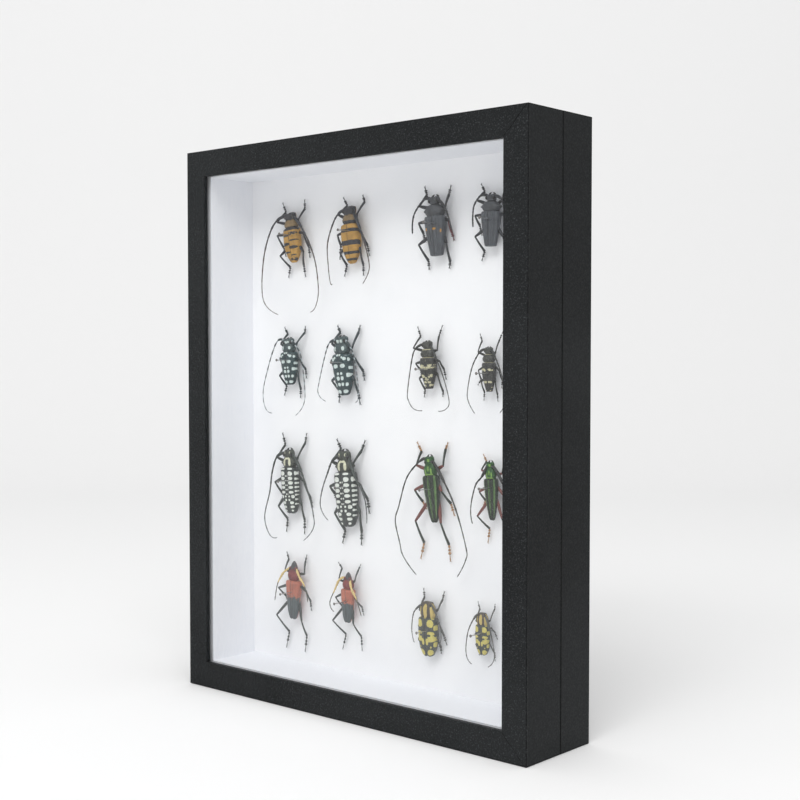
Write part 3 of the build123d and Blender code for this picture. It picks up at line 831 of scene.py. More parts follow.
def both_sides(*marks: Mark) -> tuple[Mark, ...]:
    """The marks, each with its twin on the other wing case.

    Args:
        *marks: (across, along, half width, half length) and perhaps a strength. Across and half width are in
            local half widths of the body, along and half length in its lengths. A strength below 0 cuts a hole.

    Returns:
        All the marks.
    """
    return tuple(marks) + tuple((-mark[0], *mark[1:]) for mark in marks)


def cross_bands(*bands: Pair, strength: float = 1.0) -> tuple[Mark, ...]:
    """Marks that run right across the body, from one share of its length to another.

    Args:
        *bands: Start and end of each.
        strength: Depth in the middle: a slight one leaves only specks.

    Returns:
        The marks.
    """
    return tuple((0.0, (start + end) / 2, 9.0, (end - start) / 2, strength) for start, end in bands)


PATTERNS: dict[Kind, tuple[Mark, ...]] = {
    Kind.BANDED: cross_bands((-0.1, 0.145), (0.25, 0.305), (0.392, 0.45), (0.595, 0.68), (0.785, 0.835))
    + cross_bands((0.905, 0.945), strength=0.5),
    Kind.GREY: (),
    Kind.SPOTTED: both_sides(
        (0.13, 0.318, 0.12, 0.02), (0.4, 0.362, 0.1, 0.02), (0.63, 0.385, 0.16, 0.027), (0.93, 0.4, 0.06, 0.03),
        (0.4, 0.502, 0.26, 0.034), (0.97, 0.54, 0.05, 0.028), (0.2, 0.63, 0.14, 0.023), (0.88, 0.66, 0.14, 0.036),
        (0.26, 0.708, 0.19, 0.034), (0.25, 0.81, 0.19, 0.03), (0.79, 0.815, 0.16, 0.03), (0.58, 0.93, 0.38, 0.03),
        (0.58, 0.212, 0.17, 0.036), (0.3, 0.09, 0.3, 0.03, 0.07),
    ),
    Kind.YELLOW_BARRED: cross_bands((0.174, 0.19), (0.339, 0.354)) + both_sides(
        (0.6, 0.53, 0.42, 0.045, 0.3), (0.12, 0.565, 0.22, 0.034, 0.3), (0.6, 0.73, 0.32, 0.036, 0.3),
        (0.1, 0.79, 0.26, 0.036, 0.3), (0.4, 0.855, 0.36, 0.022, 0.3), (0.7, 0.92, 0.3, 0.024, 0.3),
    ) + ((0.02, 0.4, 0.06, 0.03, 0.3),),
    Kind.WHITE_MARKED: both_sides(
        (0.48, 0.3, 0.3, 0.015), (0.48, 0.372, 0.26, 0.033), (0.48, 0.446, 0.26, 0.026), (0.49, 0.516, 0.27, 0.026),
        (0.5, 0.585, 0.27, 0.022), (0.52, 0.66, 0.27, 0.02), (0.7, 0.728, 0.18, 0.025), (0.24, 0.725, 0.11, 0.015),
        (0.24, 0.78, 0.13, 0.018), (0.54, 0.823, 0.24, 0.022), (0.6, 0.887, 0.28, 0.02), (0.64, 0.945, 0.2, 0.015),
        (0.1, 0.41, 0.07, 0.012), (0.11, 0.482, 0.07, 0.012), (0.1, 0.552, 0.07, 0.012), (0.11, 0.62, 0.08, 0.012),
        (0.09, 0.69, 0.06, 0.012), (0.95, 0.37, 0.06, 0.03), (0.95, 0.455, 0.06, 0.02), (0.95, 0.52, 0.06, 0.018),
        (0.95, 0.583, 0.06, 0.017), (0.95, 0.643, 0.06, 0.015), (0.95, 0.7, 0.06, 0.015), (0.95, 0.77, 0.06, 0.015),
        (0.95, 0.84, 0.06, 0.014), (0.46, 0.2, 0.19, 0.06), (0.24, 0.143, 0.24, 0.016), (0.6, 0.055, 0.16, 0.02),
    ),
    # On the pronotum, the bright marks at the bosses and along the base are painted highlights of its metallic sheen;
    # the wide band down the middle of the wing cases is partly stripe colour and partly painted sheen.
    Kind.GREEN_STRIPED: both_sides(
        (0.8, 0.61, 0.12, 0.33), (0.5, 0.225, 0.13, 0.045), (0.12, 0.19, 0.07, 0.045), (0.4, 0.274, 0.42, 0.012),
    ) + ((0.0, 0.66, 0.19, 0.32, 0.8), (0.0, 0.325, 0.12, 0.02), (0.1, 0.06, 0.3, 0.03, 0.6)),
    Kind.RED_SHOULDERED: cross_bands((0.613, 1.8), (-0.5, 0.15)),
    Kind.MARBLED: both_sides(
        (0.6, 0.385, 0.31, 0.07), (0.98, 0.46, 0.08, 0.045), (0.64, 0.56, 0.32, 0.034), (0.66, 0.655, 0.36, 0.06),
        (0.23, 0.715, 0.15, 0.06), (0.98, 0.76, 0.08, 0.045), (0.68, 0.81, 0.09, 0.018), (0.62, 0.91, 0.37, 0.056),
        (0.5, 0.598, 0.15, 0.02, -1.0), (0.88, 0.16, 0.2, 0.14),
    ) + ((0.0, 0.165, 0.3, 0.125),),
}


@dataclass(frozen=True)
class Specimen:
    """One beetle. Points are (right, up) of its own zero, and each leg is knee, ankle and toe."""

    kind: Kind
    column: int
    row: int
    width: float
    front: Pair
    rear: Pair
    pin: Pair
    antennae: tuple[tuple[Pair, ...], tuple[Pair, ...]]
    legs: tuple[tuple[Pair, Pair, Pair], ...]
    offset: Pair = (0.0, 0.0)
    marks: tuple[Mark, ...] = ()
    ruddy_leg: int = -1


@dataclass(frozen=True)
class BoxSizes:
    """Outside of the box, its window and the depths of what is in it."""

    width: float = 236.0
    height: float = 300.0
    depth: float = 51.0
    face: float = 14.2
    lid: float = 27.0
    seam: float = 0.1
    cloth: float = 0.4
    groove_front: float = 2.5
    foam_front: float = 36.4
    columns: tuple[float, ...] = (-67.0, -25.0, 34.5, 72.0)
    rows: tuple[float, ...] = (0.887, 0.629, 0.3895, 0.1429)

    def spot(self, item: Specimen) -> Vector:
        """A specimen's own zero on the face of the foam.

        Args:
            item: The specimen.

        Returns:
            The place in millimetres.
        """
        window = self.height - 2 * self.face
        return Vector((
            self.columns[item.column] + item.offset[0],
            self.foam_front - self.depth / 2,
            self.face + window * self.rows[item.row] + item.offset[1],
        ))


class Poise:
    """Where a specimen's points lie in the frame of the box."""

    BODY_HEIGHT = 5.0
    HIPS = ((0.22, 0.2), (0.4, 0.26), (0.62, 0.26))
    HIP_HEIGHT, KNEE_HEIGHT, ANKLE_HEIGHT, TOE_HEIGHT = 3.4, 5.0, 2.0, 1.7
    SOCKET_HEIGHT, FEELER_HEIGHT = 5.4, 6.7

    def __init__(self, item: Specimen, box: BoxSizes) -> None:
        """Works out the body's axes.

        Args:
            item: The specimen.
            box: Sizes of the box.
        """
        self.item = item
        self.origin = box.spot(item)
        self.forward = (self.at(item.front, 0) - self.at(item.rear, 0)).normalized()
        self.up = Vector((0, -1, 0))
        self.right = self.forward.cross(self.up)

    def at(self, point: Pair, height: float) -> Vector:
        """A point right and up of the specimen's zero, this high above the foam."""
        return self.origin + Vector((point[0], -height, point[1]))

    def body(self, share: float, across: float, height: float) -> Vector:
        """A point at a share of the length and of the width of the body.

        Args:
            share: Share of the length from the front.
            across: Share of the width to the right.
            height: Height above the foam.

        Returns:
            The point in millimetres.
        """
        front, rear = self.at(self.item.front, height), self.at(self.item.rear, height)
        return front.lerp(rear, share) + self.right * (across * self.item.width)


def round_end(share: float, cap: float, blunt: float) -> float:
    """How full a closed form is at a distance from its end.

    Args:
        share: Distance from the end.
        cap: Distance over which the end closes.
        blunt: 2 for a round end, and more for a squarer one.

    Returns:
        0 at the end, and 1 from the cap on.
    """
    rest = 1 - min(max(share / cap, 0.0), 1.0)
    return max(1 - rest**blunt, 0.0) ** (1 / blunt)


def smooth_line(points: list[Vector], steps: int) -> list[Vector]:
    """A smooth line through points.

    Args:
        points: The points.
        steps: Steps between two of them.

    Returns:
        Points along the line.
    """
    before = (points[0] - points[1]) * 3 + points[2]
    after = (points[-1] - points[-2]) * 3 + points[-3]
    padded = [before, *points, after]
    line = []
    for i in range(len(points) - 1):
        a, b, c, d = padded[i:i + 4]
        for k in range(steps):
            t = k / steps
            line.append(
                ((b * 2) + (c - a) * t + (a * 2 - b * 5 + c * 4 - d) * t * t + (b * 3 - a - c * 3 + d) * t**3) / 2
            )
    return [*line, points[-1]]


class Beetle:
    """One long-horned beetle: wing cases, chest, head, eyes, jaws, legs and feelers in one mesh."""

    AROUND, CASE_RINGS, CHEST_RINGS, HEAD_RINGS = 72, 96, 36, 24
    DOME, BELLY, UNDERSIDE = 0.54, 0.6, -0.3
    CROSS_SECTION, CROWDING, MARK_SHAPE = 3, 1.2, 2.6
    LIMB_SIDES, LEG_STEPS, FEELER_STEPS = 8, 10, 12
    JOINTS, TEETH = 11, 7
    POLE, THINNEST, UNMARKED = 0.99999, 0.02, -1.0
    NEAR_MARK, HOLE_RIM = 1.5, -0.2

    def __init__(self, number: int, item: Specimen, box: BoxSizes) -> None:
        """Gets ready to build.

        Args:
            number: The specimen's number along the rows.
            item: Its measurements.
            box: Sizes of the box.
        """
        self.item = item
        self.poise = Poise(item, box)
        self.build = BUILDS[item.kind]
        self.marks = item.marks or PATTERNS[item.kind]
        self.name = f"beetle_{number:02d}_{item.kind.value}"
        self.mesh = bmesh.new()
        self.across = self.mesh.verts.layers.float.new("across")
        self.along = self.mesh.verts.layers.float.new("along")
        self.mark = self.mesh.verts.layers.float.new("mark")

    def marked(self, across: float, along: float, near: list[Mark]) -> float:
        """How deep inside a mark a point of the body is.

        Args:
            across: Place across, in half widths.
            along: Share of the length.
            near: The marks that reach this ring.

        Returns:
            Up to 1 in the middle of a mark, 0 on its edge and below 0 outside.
        """
        depth = self.UNMARKED
        for mark in near:
            x, y, wide, long = mark[:4]
            power = self.MARK_SHAPE
            inside = 1 - (abs((across - x) / wide) ** power + abs((along - y) / long) ** power) ** (1 / power)
            strength = mark[4] if len(mark) > 4 else 1.0
            if strength < 0:
                depth = min(depth, -2 * inside) if inside > self.HOLE_RIM else depth
            else:
                depth = max(depth, inside * strength if inside > 0 else inside)
        return depth

    def form(self, form: Form, rings: int, part: Part, relief: Callable[..., Triple]) -> None:
        """Shapes one part of the body from a ball.

        Args:
            form: Its half widths.
            rings: Rings along it.
            part: Which finish it takes.
            relief: Method that adds its relief.
        """
        earlier = len(self.mesh.verts)
        self.mesh.from_mesh(globe(self.AROUND, rings))
        self.mesh.verts.ensure_lookup_table()
        verts = self.mesh.verts[earlier:]
        first, last = form.stations[0][0], form.stations[-1][0]
        width = self.item.width
        near: dict[float, list[Mark]] = {}
        for vert in verts:
            run = math.acos(max(-1.0, min(1.0, vert.co.z))) / math.pi
            angle = math.pi / 2 if abs(vert.co.z) > self.POLE else math.atan2(vert.co.y, vert.co.x)
            side = math.copysign(abs(math.cos(angle)) ** self.CROWDING, math.cos(angle))
            height = (1 - min(abs(side) ** self.CROSS_SECTION, 1.0)) ** (1 / self.CROSS_SECTION)
            rise = math.copysign(height, math.sin(angle))
            share = first + (last - first) * run
            full = round_end(run, form.front_cap, form.blunt) * round_end(1 - run, form.rear_cap, form.blunt)
            reach = form.width_at(share) * width / 2 * full
            lift = reach * (self.DOME if rise > 0 else self.BELLY)
            reach, lift, back = relief(run, side, rise, reach, lift)
            middle = self.poise.body(share + back, 0.0, Poise.BODY_HEIGHT)
            key = round(share, 4)
            if key not in near:
                near[key] = [mark for mark in self.marks if abs(mark[1] - share) < mark[3] * self.NEAR_MARK]
            vert[self.across], vert[self.along] = side, share
            vert[self.mark] = self.marked(side, share, near[key]) if rise > self.UNDERSIDE else self.UNMARKED
            vert.co = (middle + self.poise.right * (side * reach) + self.poise.up * (rise * lift)) * MM
        for face in {face for vert in verts for face in vert.link_faces}:
            face.material_index = part.value

    def case_relief(self, run: float, side: float, rise: float, reach: float, lift: float) -> Triple:
        """The seam between the wing cases, and the notch where they part at the rear.

        Args:
            run: Share of the wing cases' length.
            side: Place across, in half widths.
            rise: Place up, in half heights.
            reach: Half width here in millimetres.
            lift: Half height here in millimetres.

        Returns:
            The new half width, the new half height and how far the point moves along the body.
        """
        if rise <= 0:
            return reach, lift, 0.0
        lift *= 1.04 - 0.16 * run * run
        lift -= 0.07 * reach * hump(side, 0.0, 0.045) * min(run * 6, 1.0)
        lift += 0.05 * reach * hump(abs(side), 0.6, 0.22) * hump(run, 0.1, 0.09)
        opening = max(run - 0.92, 0.0) / 0.08
        return reach, lift, -0.03 * opening * hump(side, 0.0, 0.22)

    def chest_relief(self, run: float, side: float, rise: float, reach: float, lift: float) -> Triple:
        """The rims, the hollows and the side points of the pronotum, with the same terms as the wing cases."""
        rims = hump(run, 0.2, 0.05) + hump(run, 0.86, 0.05)
        reach *= 1 - 0.06 * rims
        lift *= 1 - 0.08 * rims
        if rise > 0:
            bosses = hump(abs(side), 0.42, 0.18) * hump(run, 0.5, 0.18)
            lift += 0.07 * reach * bosses - 0.03 * reach * hump(side, 0.0, 0.1)
        point = hump(run, 0.52, 0.12) * max(abs(side) - 0.8, 0.0) / 0.2
        return reach + (self.build.side_point + 0.25) * point, lift, 0.0

    def head_relief(self, run: float, side: float, rise: float, reach: float, lift: float) -> Triple:
        """The furrow between the sockets and the hollow of the brow, with the same terms as the wing cases."""
        if rise > 0:
            lift -= 0.1 * reach * hump(side, 0.0, 0.13) * (1 - run)
        front = max(1 - run / 0.5, 0.0)
        return reach, lift, self.build.notch * front * hump(side, 0.0, 0.42)

    def ball(self, centre: Vector, radii: Triple, part: Part) -> None:
        """Adds a small rounded form.

        Args:
            centre: Its middle in millimetres.
            radii: Half sizes across, along and up.
            part: Which finish it takes.
        """
        made = bmesh.ops.create_icosphere(self.mesh, subdivisions=2, radius=1.0)
        across, along, up = radii
        for vert in made["verts"]:
            x, y, z = vert.co
            vert[self.mark], vert[self.along] = self.UNMARKED, 0.5
            vert.co = (
                centre + self.poise.right * (x * across) + self.poise.forward * (y * along) + self.poise.up * (z * up)
            ) * MM
        for face in {face for vert in made["verts"] for face in vert.link_faces}:
            face.material_index = part.value

    def face_details(self) -> None:
        """Eyes, the sockets of the feelers and the jaws."""
        width = self.item.width
        share, across = self.build.socket
        half = self.build.head.width_at(share + 0.025) / 2
        for side in (-1, 1):
            eye = self.poise.body(share + 0.03, side * half * 0.86, Poise.BODY_HEIGHT + 0.08 * width)
            self.ball(eye, (0.06 * width, 0.09 * width, 0.11 * width), Part.EYE)
            socket = self.poise.body(share, side * across, Poise.SOCKET_HEIGHT + 0.05 * width)
            self.ball(socket, (0.085 * width, 0.08 * width, 0.08 * width), Part.CHEST)
            if self.build.jaws:
                self.jaw(side)

    def tube(self, points: list[Vector], radii: list[float], part: Part, along: list[float] | None = None) -> None:
        """Draws a round tapering limb along points by extruding a ring.

        Args:
            points: Its points in millimetres.
            radii: Its radius at each point in millimetres.
            part: Which finish it takes.
            along: How far along the limb each point is, 0 to 1.
        """
        last = len(points) - 1
        along = along or [i / last for i in range(last + 1)]
        frame = self.ring_frame(points[0], points[1] - points[0], None, radii[0])
        made = bmesh.ops.create_circle(self.mesh, segments=self.LIMB_SIDES, radius=1.0, matrix=frame)
        verts = made["verts"]
        edges = list({edge for vert in verts for edge in vert.link_edges})
        for vert in verts:
            vert[self.along], vert[self.mark] = along[0], self.UNMARKED
        bmesh.ops.edgeloop_fill(self.mesh, edges=edges, mat_nr=part.value)
        for i in range(1, last + 1):
            heading = points[min(i + 1, last)] - points[i - 1]
            following = self.ring_frame(points[i], heading, frame, radii[i])
            made = bmesh.ops.extrude_edge_only(self.mesh, edges=edges)["geom"]
            kinds = (bmesh.types.BMVert, bmesh.types.BMEdge, bmesh.types.BMFace)
            verts, edges, faces = ([item for item in made if isinstance(item, kind)] for kind in kinds)
            for face in faces:
                face.material_index = part.value
            bmesh.ops.transform(self.mesh, matrix=following @ frame.inverted(), verts=verts)
            for vert in verts:
                vert[self.along], vert[self.mark] = along[i], self.UNMARKED
            edges = [edge for edge in edges if all(vert in verts for vert in edge.verts)]
            frame = following
        bmesh.ops.edgeloop_fill(self.mesh, edges=edges, mat_nr=part.value)

    def ring_frame(self, point: Vector, heading: Vector, before: Matrix | None, radius: float) -> Matrix:
        """Place, direction and size of one ring of a limb, turned no more than the limb itself.

        Args:
            point: Its middle in millimetres.
            heading: Direction of the limb.
            before: The frame of the ring before it.
            radius: Its radius in millimetres.

        Returns:
            The matrix from a unit circle.
        """
        along = heading.normalized()
        aside = Vector(before.col[0][:3]) if before else along.orthogonal()
        aside = (aside - along * aside.dot(along)).normalized()
        turned = Matrix((aside, along.cross(aside), along)).transposed().to_4x4()
        return Matrix.Translation(point * MM) @ turned @ Matrix.Scale(max(radius, self.THINNEST) * MM, 4)

    def leg(self, index: int) -> None:
        """Femur, shin, lobed foot and claws of one leg.

        Args:
            index: Front to rear, left then right.
        """
        share, across = Poise.HIPS[index // 2]
        side = -1 if index % 2 == 0 else 1
        knee, ankle, toe = self.item.legs[index]
        hip = self.poise.body(share, side * across, Poise.HIP_HEIGHT)
        knee = self.poise.at(knee, Poise.KNEE_HEIGHT)
        ankle = self.poise.at(ankle, Poise.ANKLE_HEIGHT)
        toe = self.poise.at(toe, Poise.TOE_HEIGHT)
        thick = self.build.leg * self.item.width
        ruddy = index == self.item.ruddy_leg
        steps = [i / self.LEG_STEPS for i in range(self.LEG_STEPS + 1)]
        femur = [hip.lerp(knee, t) for t in steps]
        self.tube(femur, [thick * (0.66 + 0.62 * math.sin(math.pi * (0.08 + 0.86 * t))) for t in steps], Part.FEMUR)
        bow = self.poise.up * 0.3
        shin = [knee.lerp(ankle, t) + bow * math.sin(math.pi * t) for t in steps]
        self.tube(shin, [thick * (0.64 + 0.34 * t**1.6) for t in steps], Part.RUDDY if ruddy else Part.SHIN)
        if ruddy:
            self.teeth(knee, ankle, thick)
        self.foot(ankle, toe, thick, Part.RUDDY if ruddy else Part.FOOT)

    def teeth(self, start: Vector, end: Vector, thick: float) -> None:
        """A row of short teeth down the outside of a shin.

        Args:
            start: The knee.
            end: The ankle.
            thick: Thickness of the leg.
        """
        run = end - start
        aside = run.cross(self.poise.up).normalized()
        for i in range(1, self.TEETH + 1):
            root = start + run * (i / (self.TEETH + 1))
            tip = root - aside * (thick * 1.15) + run.normalized() * (thick * 0.5)
            self.tube([root, root.lerp(tip, 0.6), tip], [thick * 0.32, thick * 0.24, 0.03], Part.RUDDY)

    def foot(self, ankle: Vector, toe: Vector, thick: float, part: Part) -> None:
        """Three lobes, a slender last joint and two claws.

        Args:
            ankle: Start of the foot.
            toe: End of the foot.
            thick: Thickness of the leg.
            part: Which finish it takes.
        """
        run = toe - ankle
        heading = run.normalized()
        aside = heading.cross(self.poise.up).normalized()
        for start, end, wide in ((0.0, 0.2, 0.86), (0.22, 0.4, 0.98), (0.42, 0.6, 1.12)):
            points = [ankle + run * (start + (end - start) * i / 4) for i in range(5)]
            self.tube(points, [thick * wide * s for s in (0.4, 0.68, 0.98, 1.04, 0.46)], part)
        last = [ankle + run * (0.58 + 0.42 * i / 4) for i in range(5)]
        self.tube(last, [thick * s for s in (0.3, 0.28, 0.34, 0.46, 0.26)], part)
        for side in (-1, 1):
            claw = [
                toe + (heading * (0.56 * k - 0.2) + aside * (side * 0.95 * k) - self.poise.up * (0.2 * k * k)) * thick
                for k in (0.0, 0.4, 0.8, 1.1)
            ]
            self.tube(claw, [thick * s for s in (0.22, 0.2, 0.13, 0.05)], part)

    def feeler(self, side: int) -> None:
        """One feeler: a stout first joint and ten slender ones, each thicker at its far end.

        Args:
            side: -1 for the left and 1 for the right.
        """
        share, across = self.build.socket
        socket = self.poise.body(share, side * across, Poise.SOCKET_HEIGHT)
        turns = [socket, *(self.poise.at(point, Poise.FEELER_HEIGHT) for point in self.item.antennae[max(side, 0)])]
        line = smooth_line(turns, self.FEELER_STEPS)
        far = [0.0]
        for a, b in zip(line, line[1:]):
            far.append(far[-1] + (b - a).length)
        elbow = far[self.FEELER_STEPS]
        thick, thin = self.build.feeler_radii
        along, radii = [], []
        for distance in far:
            if distance <= elbow:
                part = distance / elbow
                along.append(part / self.JOINTS)
                radii.append(thick * (0.82 + 0.5 * math.sin(math.pi * (0.1 + 0.75 * part))))
                continue
            share = (distance - elbow) / (far[-1] - elbow)
            joint = (share * (self.JOINTS - 1)) % 1.0
            swell = 1 + self.build.swollen * hump(share, 0.14, 0.18)
            base = thick * 0.84 + (thin * 1.1 - thick * 0.84) * min(share * 1.15, 1.0) ** 0.8
            along.append((1 + share * (self.JOINTS - 1)) / self.JOINTS)
            radii.append(base * swell * (0.84 + 0.36 * joint**4) * (0.8 if joint < 0.08 else 1.0))
        radii[-1] *= 0.4
        self.tube(line, radii, Part.ANTENNA, along)

    def jaw(self, side: int) -> None:
        """One small curved jaw at the front of the head.

        Args:
            side: -1 for the left and 1 for the right.
        """
        width, size = self.item.width, self.build.jaws
        start = self.build.head.stations[0][0]
        points = [
            self.poise.body(start + share, side * across, Poise.BODY_HEIGHT - 0.06 * width)
            for share, across in (
                (0.03, 0.14), (0.012 - 0.012 * size, 0.14), (0.006 - 0.02 * size, 0.1), (-0.026 * size, 0.03),
            )
        ]
        self.tube(points, [0.06 * width, 0.052 * width, 0.036 * width, 0.012 * width], Part.EYE)

    def make(self, finishes: list[Material], body: str) -> bpy.types.Object:
        """Builds the beetle and puts it on its body.

        Args:
            finishes: One material for each part.
            body: Name of the CAD body that it rides on.

        Returns:
            The piece.
        """
        for index in range(len(self.item.legs)):
            self.leg(index)
        for side in (-1, 1):
            self.feeler(side)
        self.face_details()
        self.form(self.build.cases, self.CASE_RINGS, Part.SHELL, self.case_relief)
        self.form(self.build.pronotum, self.CHEST_RINGS, Part.CHEST, self.chest_relief)
        self.form(self.build.head, self.HEAD_RINGS, Part.CHEST, self.head_relief)
        bmesh.ops.recalc_face_normals(self.mesh, faces=self.mesh.faces)
        piece = new_piece(self.name + "_insect", self.mesh, finishes)
        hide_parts(self.name)
        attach(piece, body)
        return piece


@lru_cache
def globe(around: int, rings: int) -> bpy.types.Mesh:
    """A ball with its poles on Z, made once for all the bodies.

    Args:
        around: Faces round it.
        rings: Faces from pole to pole.

    Returns:
        The mesh.
    """
    ball = bmesh.new()
    bmesh.ops.create_uvsphere(ball, u_segments=around, v_segments=rings, radius=1.0)
    data = bpy.data.meshes.new(f"globe_{rings}")
    ball.to_mesh(data)
    ball.free()
    return data


def new_piece(name: str, mesh: bmesh.types.BMesh, materials: list[Material]) -> bpy.types.Object:
    """Turns a bmesh into a smooth object at the origin.

    Args:
        name: Name of the object.
        mesh: The bmesh, which is freed.
        materials: Its materials in order.

    Returns:
        The object.
    """
    data = bpy.data.meshes.new(name)
    mesh.to_mesh(data)
    mesh.free()
    data.polygons.foreach_set("use_smooth", [True] * len(data.polygons))
    for material in materials:
        data.materials.append(material)
    piece = bpy.data.objects.new(name, data)
    bpy.context.scene.collection.objects.link(piece)
    return piece


def repaint(node: bpy.types.Object, material: Material) -> None:
    """Gives a CAD node a finish.

    Args:
        node: The node's object.
        material: The finish.
    """
    node.data.materials.clear()
    node.data.materials.append(material)


@dataclass
class Pin:
    """An insect pin: round wire with a small flared head and a ground point."""

    number: int
    item: Specimen
    radius: float = 0.25
    head_radius: float = 0.75
    head_depth: float = 0.6
    rise: float = 17.2
    in_foam: float = 10.4
    point: float = 1.6
    sides: int = 20

    def make(self, box: BoxSizes, wire: Material, head: Material) -> None:
        """Turns the pin about its own line and seats it in the foam.

        Args:
            box: Sizes of the box.
            wire: Finish of the shaft.
            head: Finish of the head.
        """
        mesh = bmesh.new()
        top, head_radius, neck = self.rise, self.head_radius, self.rise - self.head_depth
        outline = (
            (0.0, top), (head_radius * 0.6, top), (head_radius * 0.93, top - 0.1), (head_radius, top - 0.26),
            (head_radius * 0.86, top - 0.44), (self.radius * 1.15, neck), (self.radius, neck - 0.15),
            (self.radius, self.point - self.in_foam), (0.0, -self.in_foam),
        )
        verts = [mesh.verts.new((radius, 0.0, height)) for radius, height in outline]
        edges = [mesh.edges.new(pair) for pair in zip(verts, verts[1:])]
        bmesh.ops.spin(
            mesh, geom=verts + edges, cent=(0, 0, 0), axis=(0, 0, 1), angle=math.tau, steps=self.sides, use_merge=True,
        )
        bmesh.ops.remove_doubles(mesh, verts=mesh.verts, dist=0.001)
        bmesh.ops.recalc_face_normals(mesh, faces=mesh.faces)
        for face in mesh.faces:
            face.material_index = 1 if face.calc_center_median().z > neck else 0
        spot = box.spot(self.item) + Vector((self.item.pin[0], 0.0, self.item.pin[1]))
        turn = Matrix.Rotation(math.radians(90), 4, "X")
        bmesh.ops.transform(mesh, matrix=Matrix.Scale(MM, 4) @ Matrix.Translation(spot) @ turn, verts=mesh.verts)
        name = f"pin_{self.number:02d}"
        piece = new_piece(name + "_wire", mesh, [wire, head])
        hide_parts(name)
        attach(piece, f"specimen_{self.number:02d}")


@dataclass
class Covering:
    """Cloth folded round a mitred frame: one closed ring of a thin folded section."""

    name: str
    node: str
    body: str
    section: tuple[Pair, ...]
    bevel: float = 0.25
    sharp: float = 0.5

    def make(self, box: BoxSizes, finish: Material) -> None:
        """Runs the section round the four corners.

        Args:
            box: Sizes of the box.
            finish: The covering's material.
        """
        mesh = bmesh.new()
        loops = []
        for across, upward in ((-1, -1), (1, -1), (1, 1), (-1, 1)):
            verts = [
                mesh.verts.new((
                    across * (box.width / 2 - inwards) * MM,
                    (deep - box.depth / 2) * MM,
                    (box.height / 2 + upward * (box.height / 2 - inwards)) * MM,
                ))
                for inwards, deep in self.section
            ]
            loops.append([mesh.edges.new((verts[i - 1], verts[i])) for i in range(len(verts))])
        for i in range(len(loops)):
            bmesh.ops.bridge_loops(mesh, edges=loops[i - 1] + loops[i])
        bmesh.ops.recalc_face_normals(mesh, faces=mesh.faces)
        sharp = [edge for edge in mesh.edges if len(edge.link_faces) == 2 and edge.calc_face_angle() > self.sharp]
        bmesh.ops.bevel(
            mesh, geom=sharp, offset=self.bevel * MM, affect="EDGES", segments=2, profile=0.5, material=-1,
            clamp_overlap=True,
        )
        piece = new_piece(self.name, mesh, [finish])
        piece.data.polygons.foreach_set("use_smooth", [False] * len(piece.data.polygons))
        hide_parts(self.node)
        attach(piece, self.body)


@dataclass
class Case:
    """The box itself: bars, neck boards, coverings, glass, foam and back."""

    box: BoxSizes = BoxSizes()

    def make(self, nodes: dict[str, bpy.types.Object]) -> None:
        """Dresses the CAD nodes and adds the coverings.

        Args:
            nodes: The CAD nodes by name.
        """
        box = self.box
        leatherette = Leatherette().material(box)
        timber = SOFTWOOD.material()
        stained = STAINED.material()
        white = WHITE_PAPER.material()
        finishes = {
            "foam_sheet": Foam().material(),
            "lid_glass": ClearPane().material(),
            "back_panel": HARDBOARD.material(),
            "back_sheet": BLACK_PAPER.material(),
        }
        for name, node in nodes.items():
            if name in finishes:
                repaint(node, finishes[name])
            elif name.startswith("neck_"):
                repaint(node, white)
            elif name.startswith("lid_") and name != "lid_covering":
                repaint(node, stained)
            elif "rail" in name or "stile" in name:
                repaint(node, timber)
            elif name.endswith("covering"):
                repaint(node, leatherette)
        cloth, face = box.cloth, box.face
        lid = Covering(
            "lid_cloth", "lid_covering", "lid",
            (
                (0, 0), (face, 0), (face, box.groove_front), (face - cloth, box.groove_front),
                (face - cloth, cloth), (cloth, cloth), (cloth, box.lid - box.seam), (0, box.lid - box.seam),
            ),
        )
        base = Covering(
            "base_cloth", "base_covering", "base",
            ((0, box.lid + box.seam), (cloth, box.lid + box.seam), (cloth, box.depth), (0, box.depth)),
            0.12,
        )
        for covering in (lid, base):
            covering.make(box, leatherette)
            LOG.info("made %s", covering.name)


@dataclass
class Display:
    """The beetles on their pins, in rows from the top left."""

    box: BoxSizes
    specimens: tuple[Specimen, ...]

    def finishes(self, kind: Kind) -> list[Material]:
        """The materials of one kind, in the order of the parts.

        Args:
            kind: The kind.

        Returns:
            One material for each part of the mesh.
        """
        look, word = LOOKS[kind], kind.value
        limb = look.limb
        finishes = (
            BodyFinish(kind, look, chest=False),
            BodyFinish(kind, look, chest=True),
            LimbFinish(f"{word}_femur", look.femur or limb),
            LimbFinish(f"{word}_shin", limb),
            LimbFinish(f"{word}_foot", look.foot or limb),
            LimbFinish(f"{word}_feeler", look.feeler or limb, look.feeler_tip, look.feeler_turn, look.ringed),
            EyeFinish(),
            LimbFinish(f"{word}_ruddy", (122, 84, 86)),
        )
        return [finish.material() for finish in finishes]

    def make(self) -> None:
        """Builds every beetle and its pin."""
        wire = PinMetal("pin_wire", shade(205, 206, 208), 1.0, 0.24).material()
        head = PinMetal("pin_head", shade(118, 114, 110), 0.2, 0.4).material()
        by_kind = {kind: self.finishes(kind) for kind in Kind}
        ordered = sorted(self.specimens, key=lambda item: (item.row, item.column))
        for number, item in enumerate(ordered, start=1):
            body = f"specimen_{number:02d}"
            piece = Beetle(number, item, self.box).make(by_kind[item.kind], body)
            Pin(number, item).make(self.box, wire, head)
            LOG.info("made %s with %d faces", piece.name, len(piece.data.polygons))


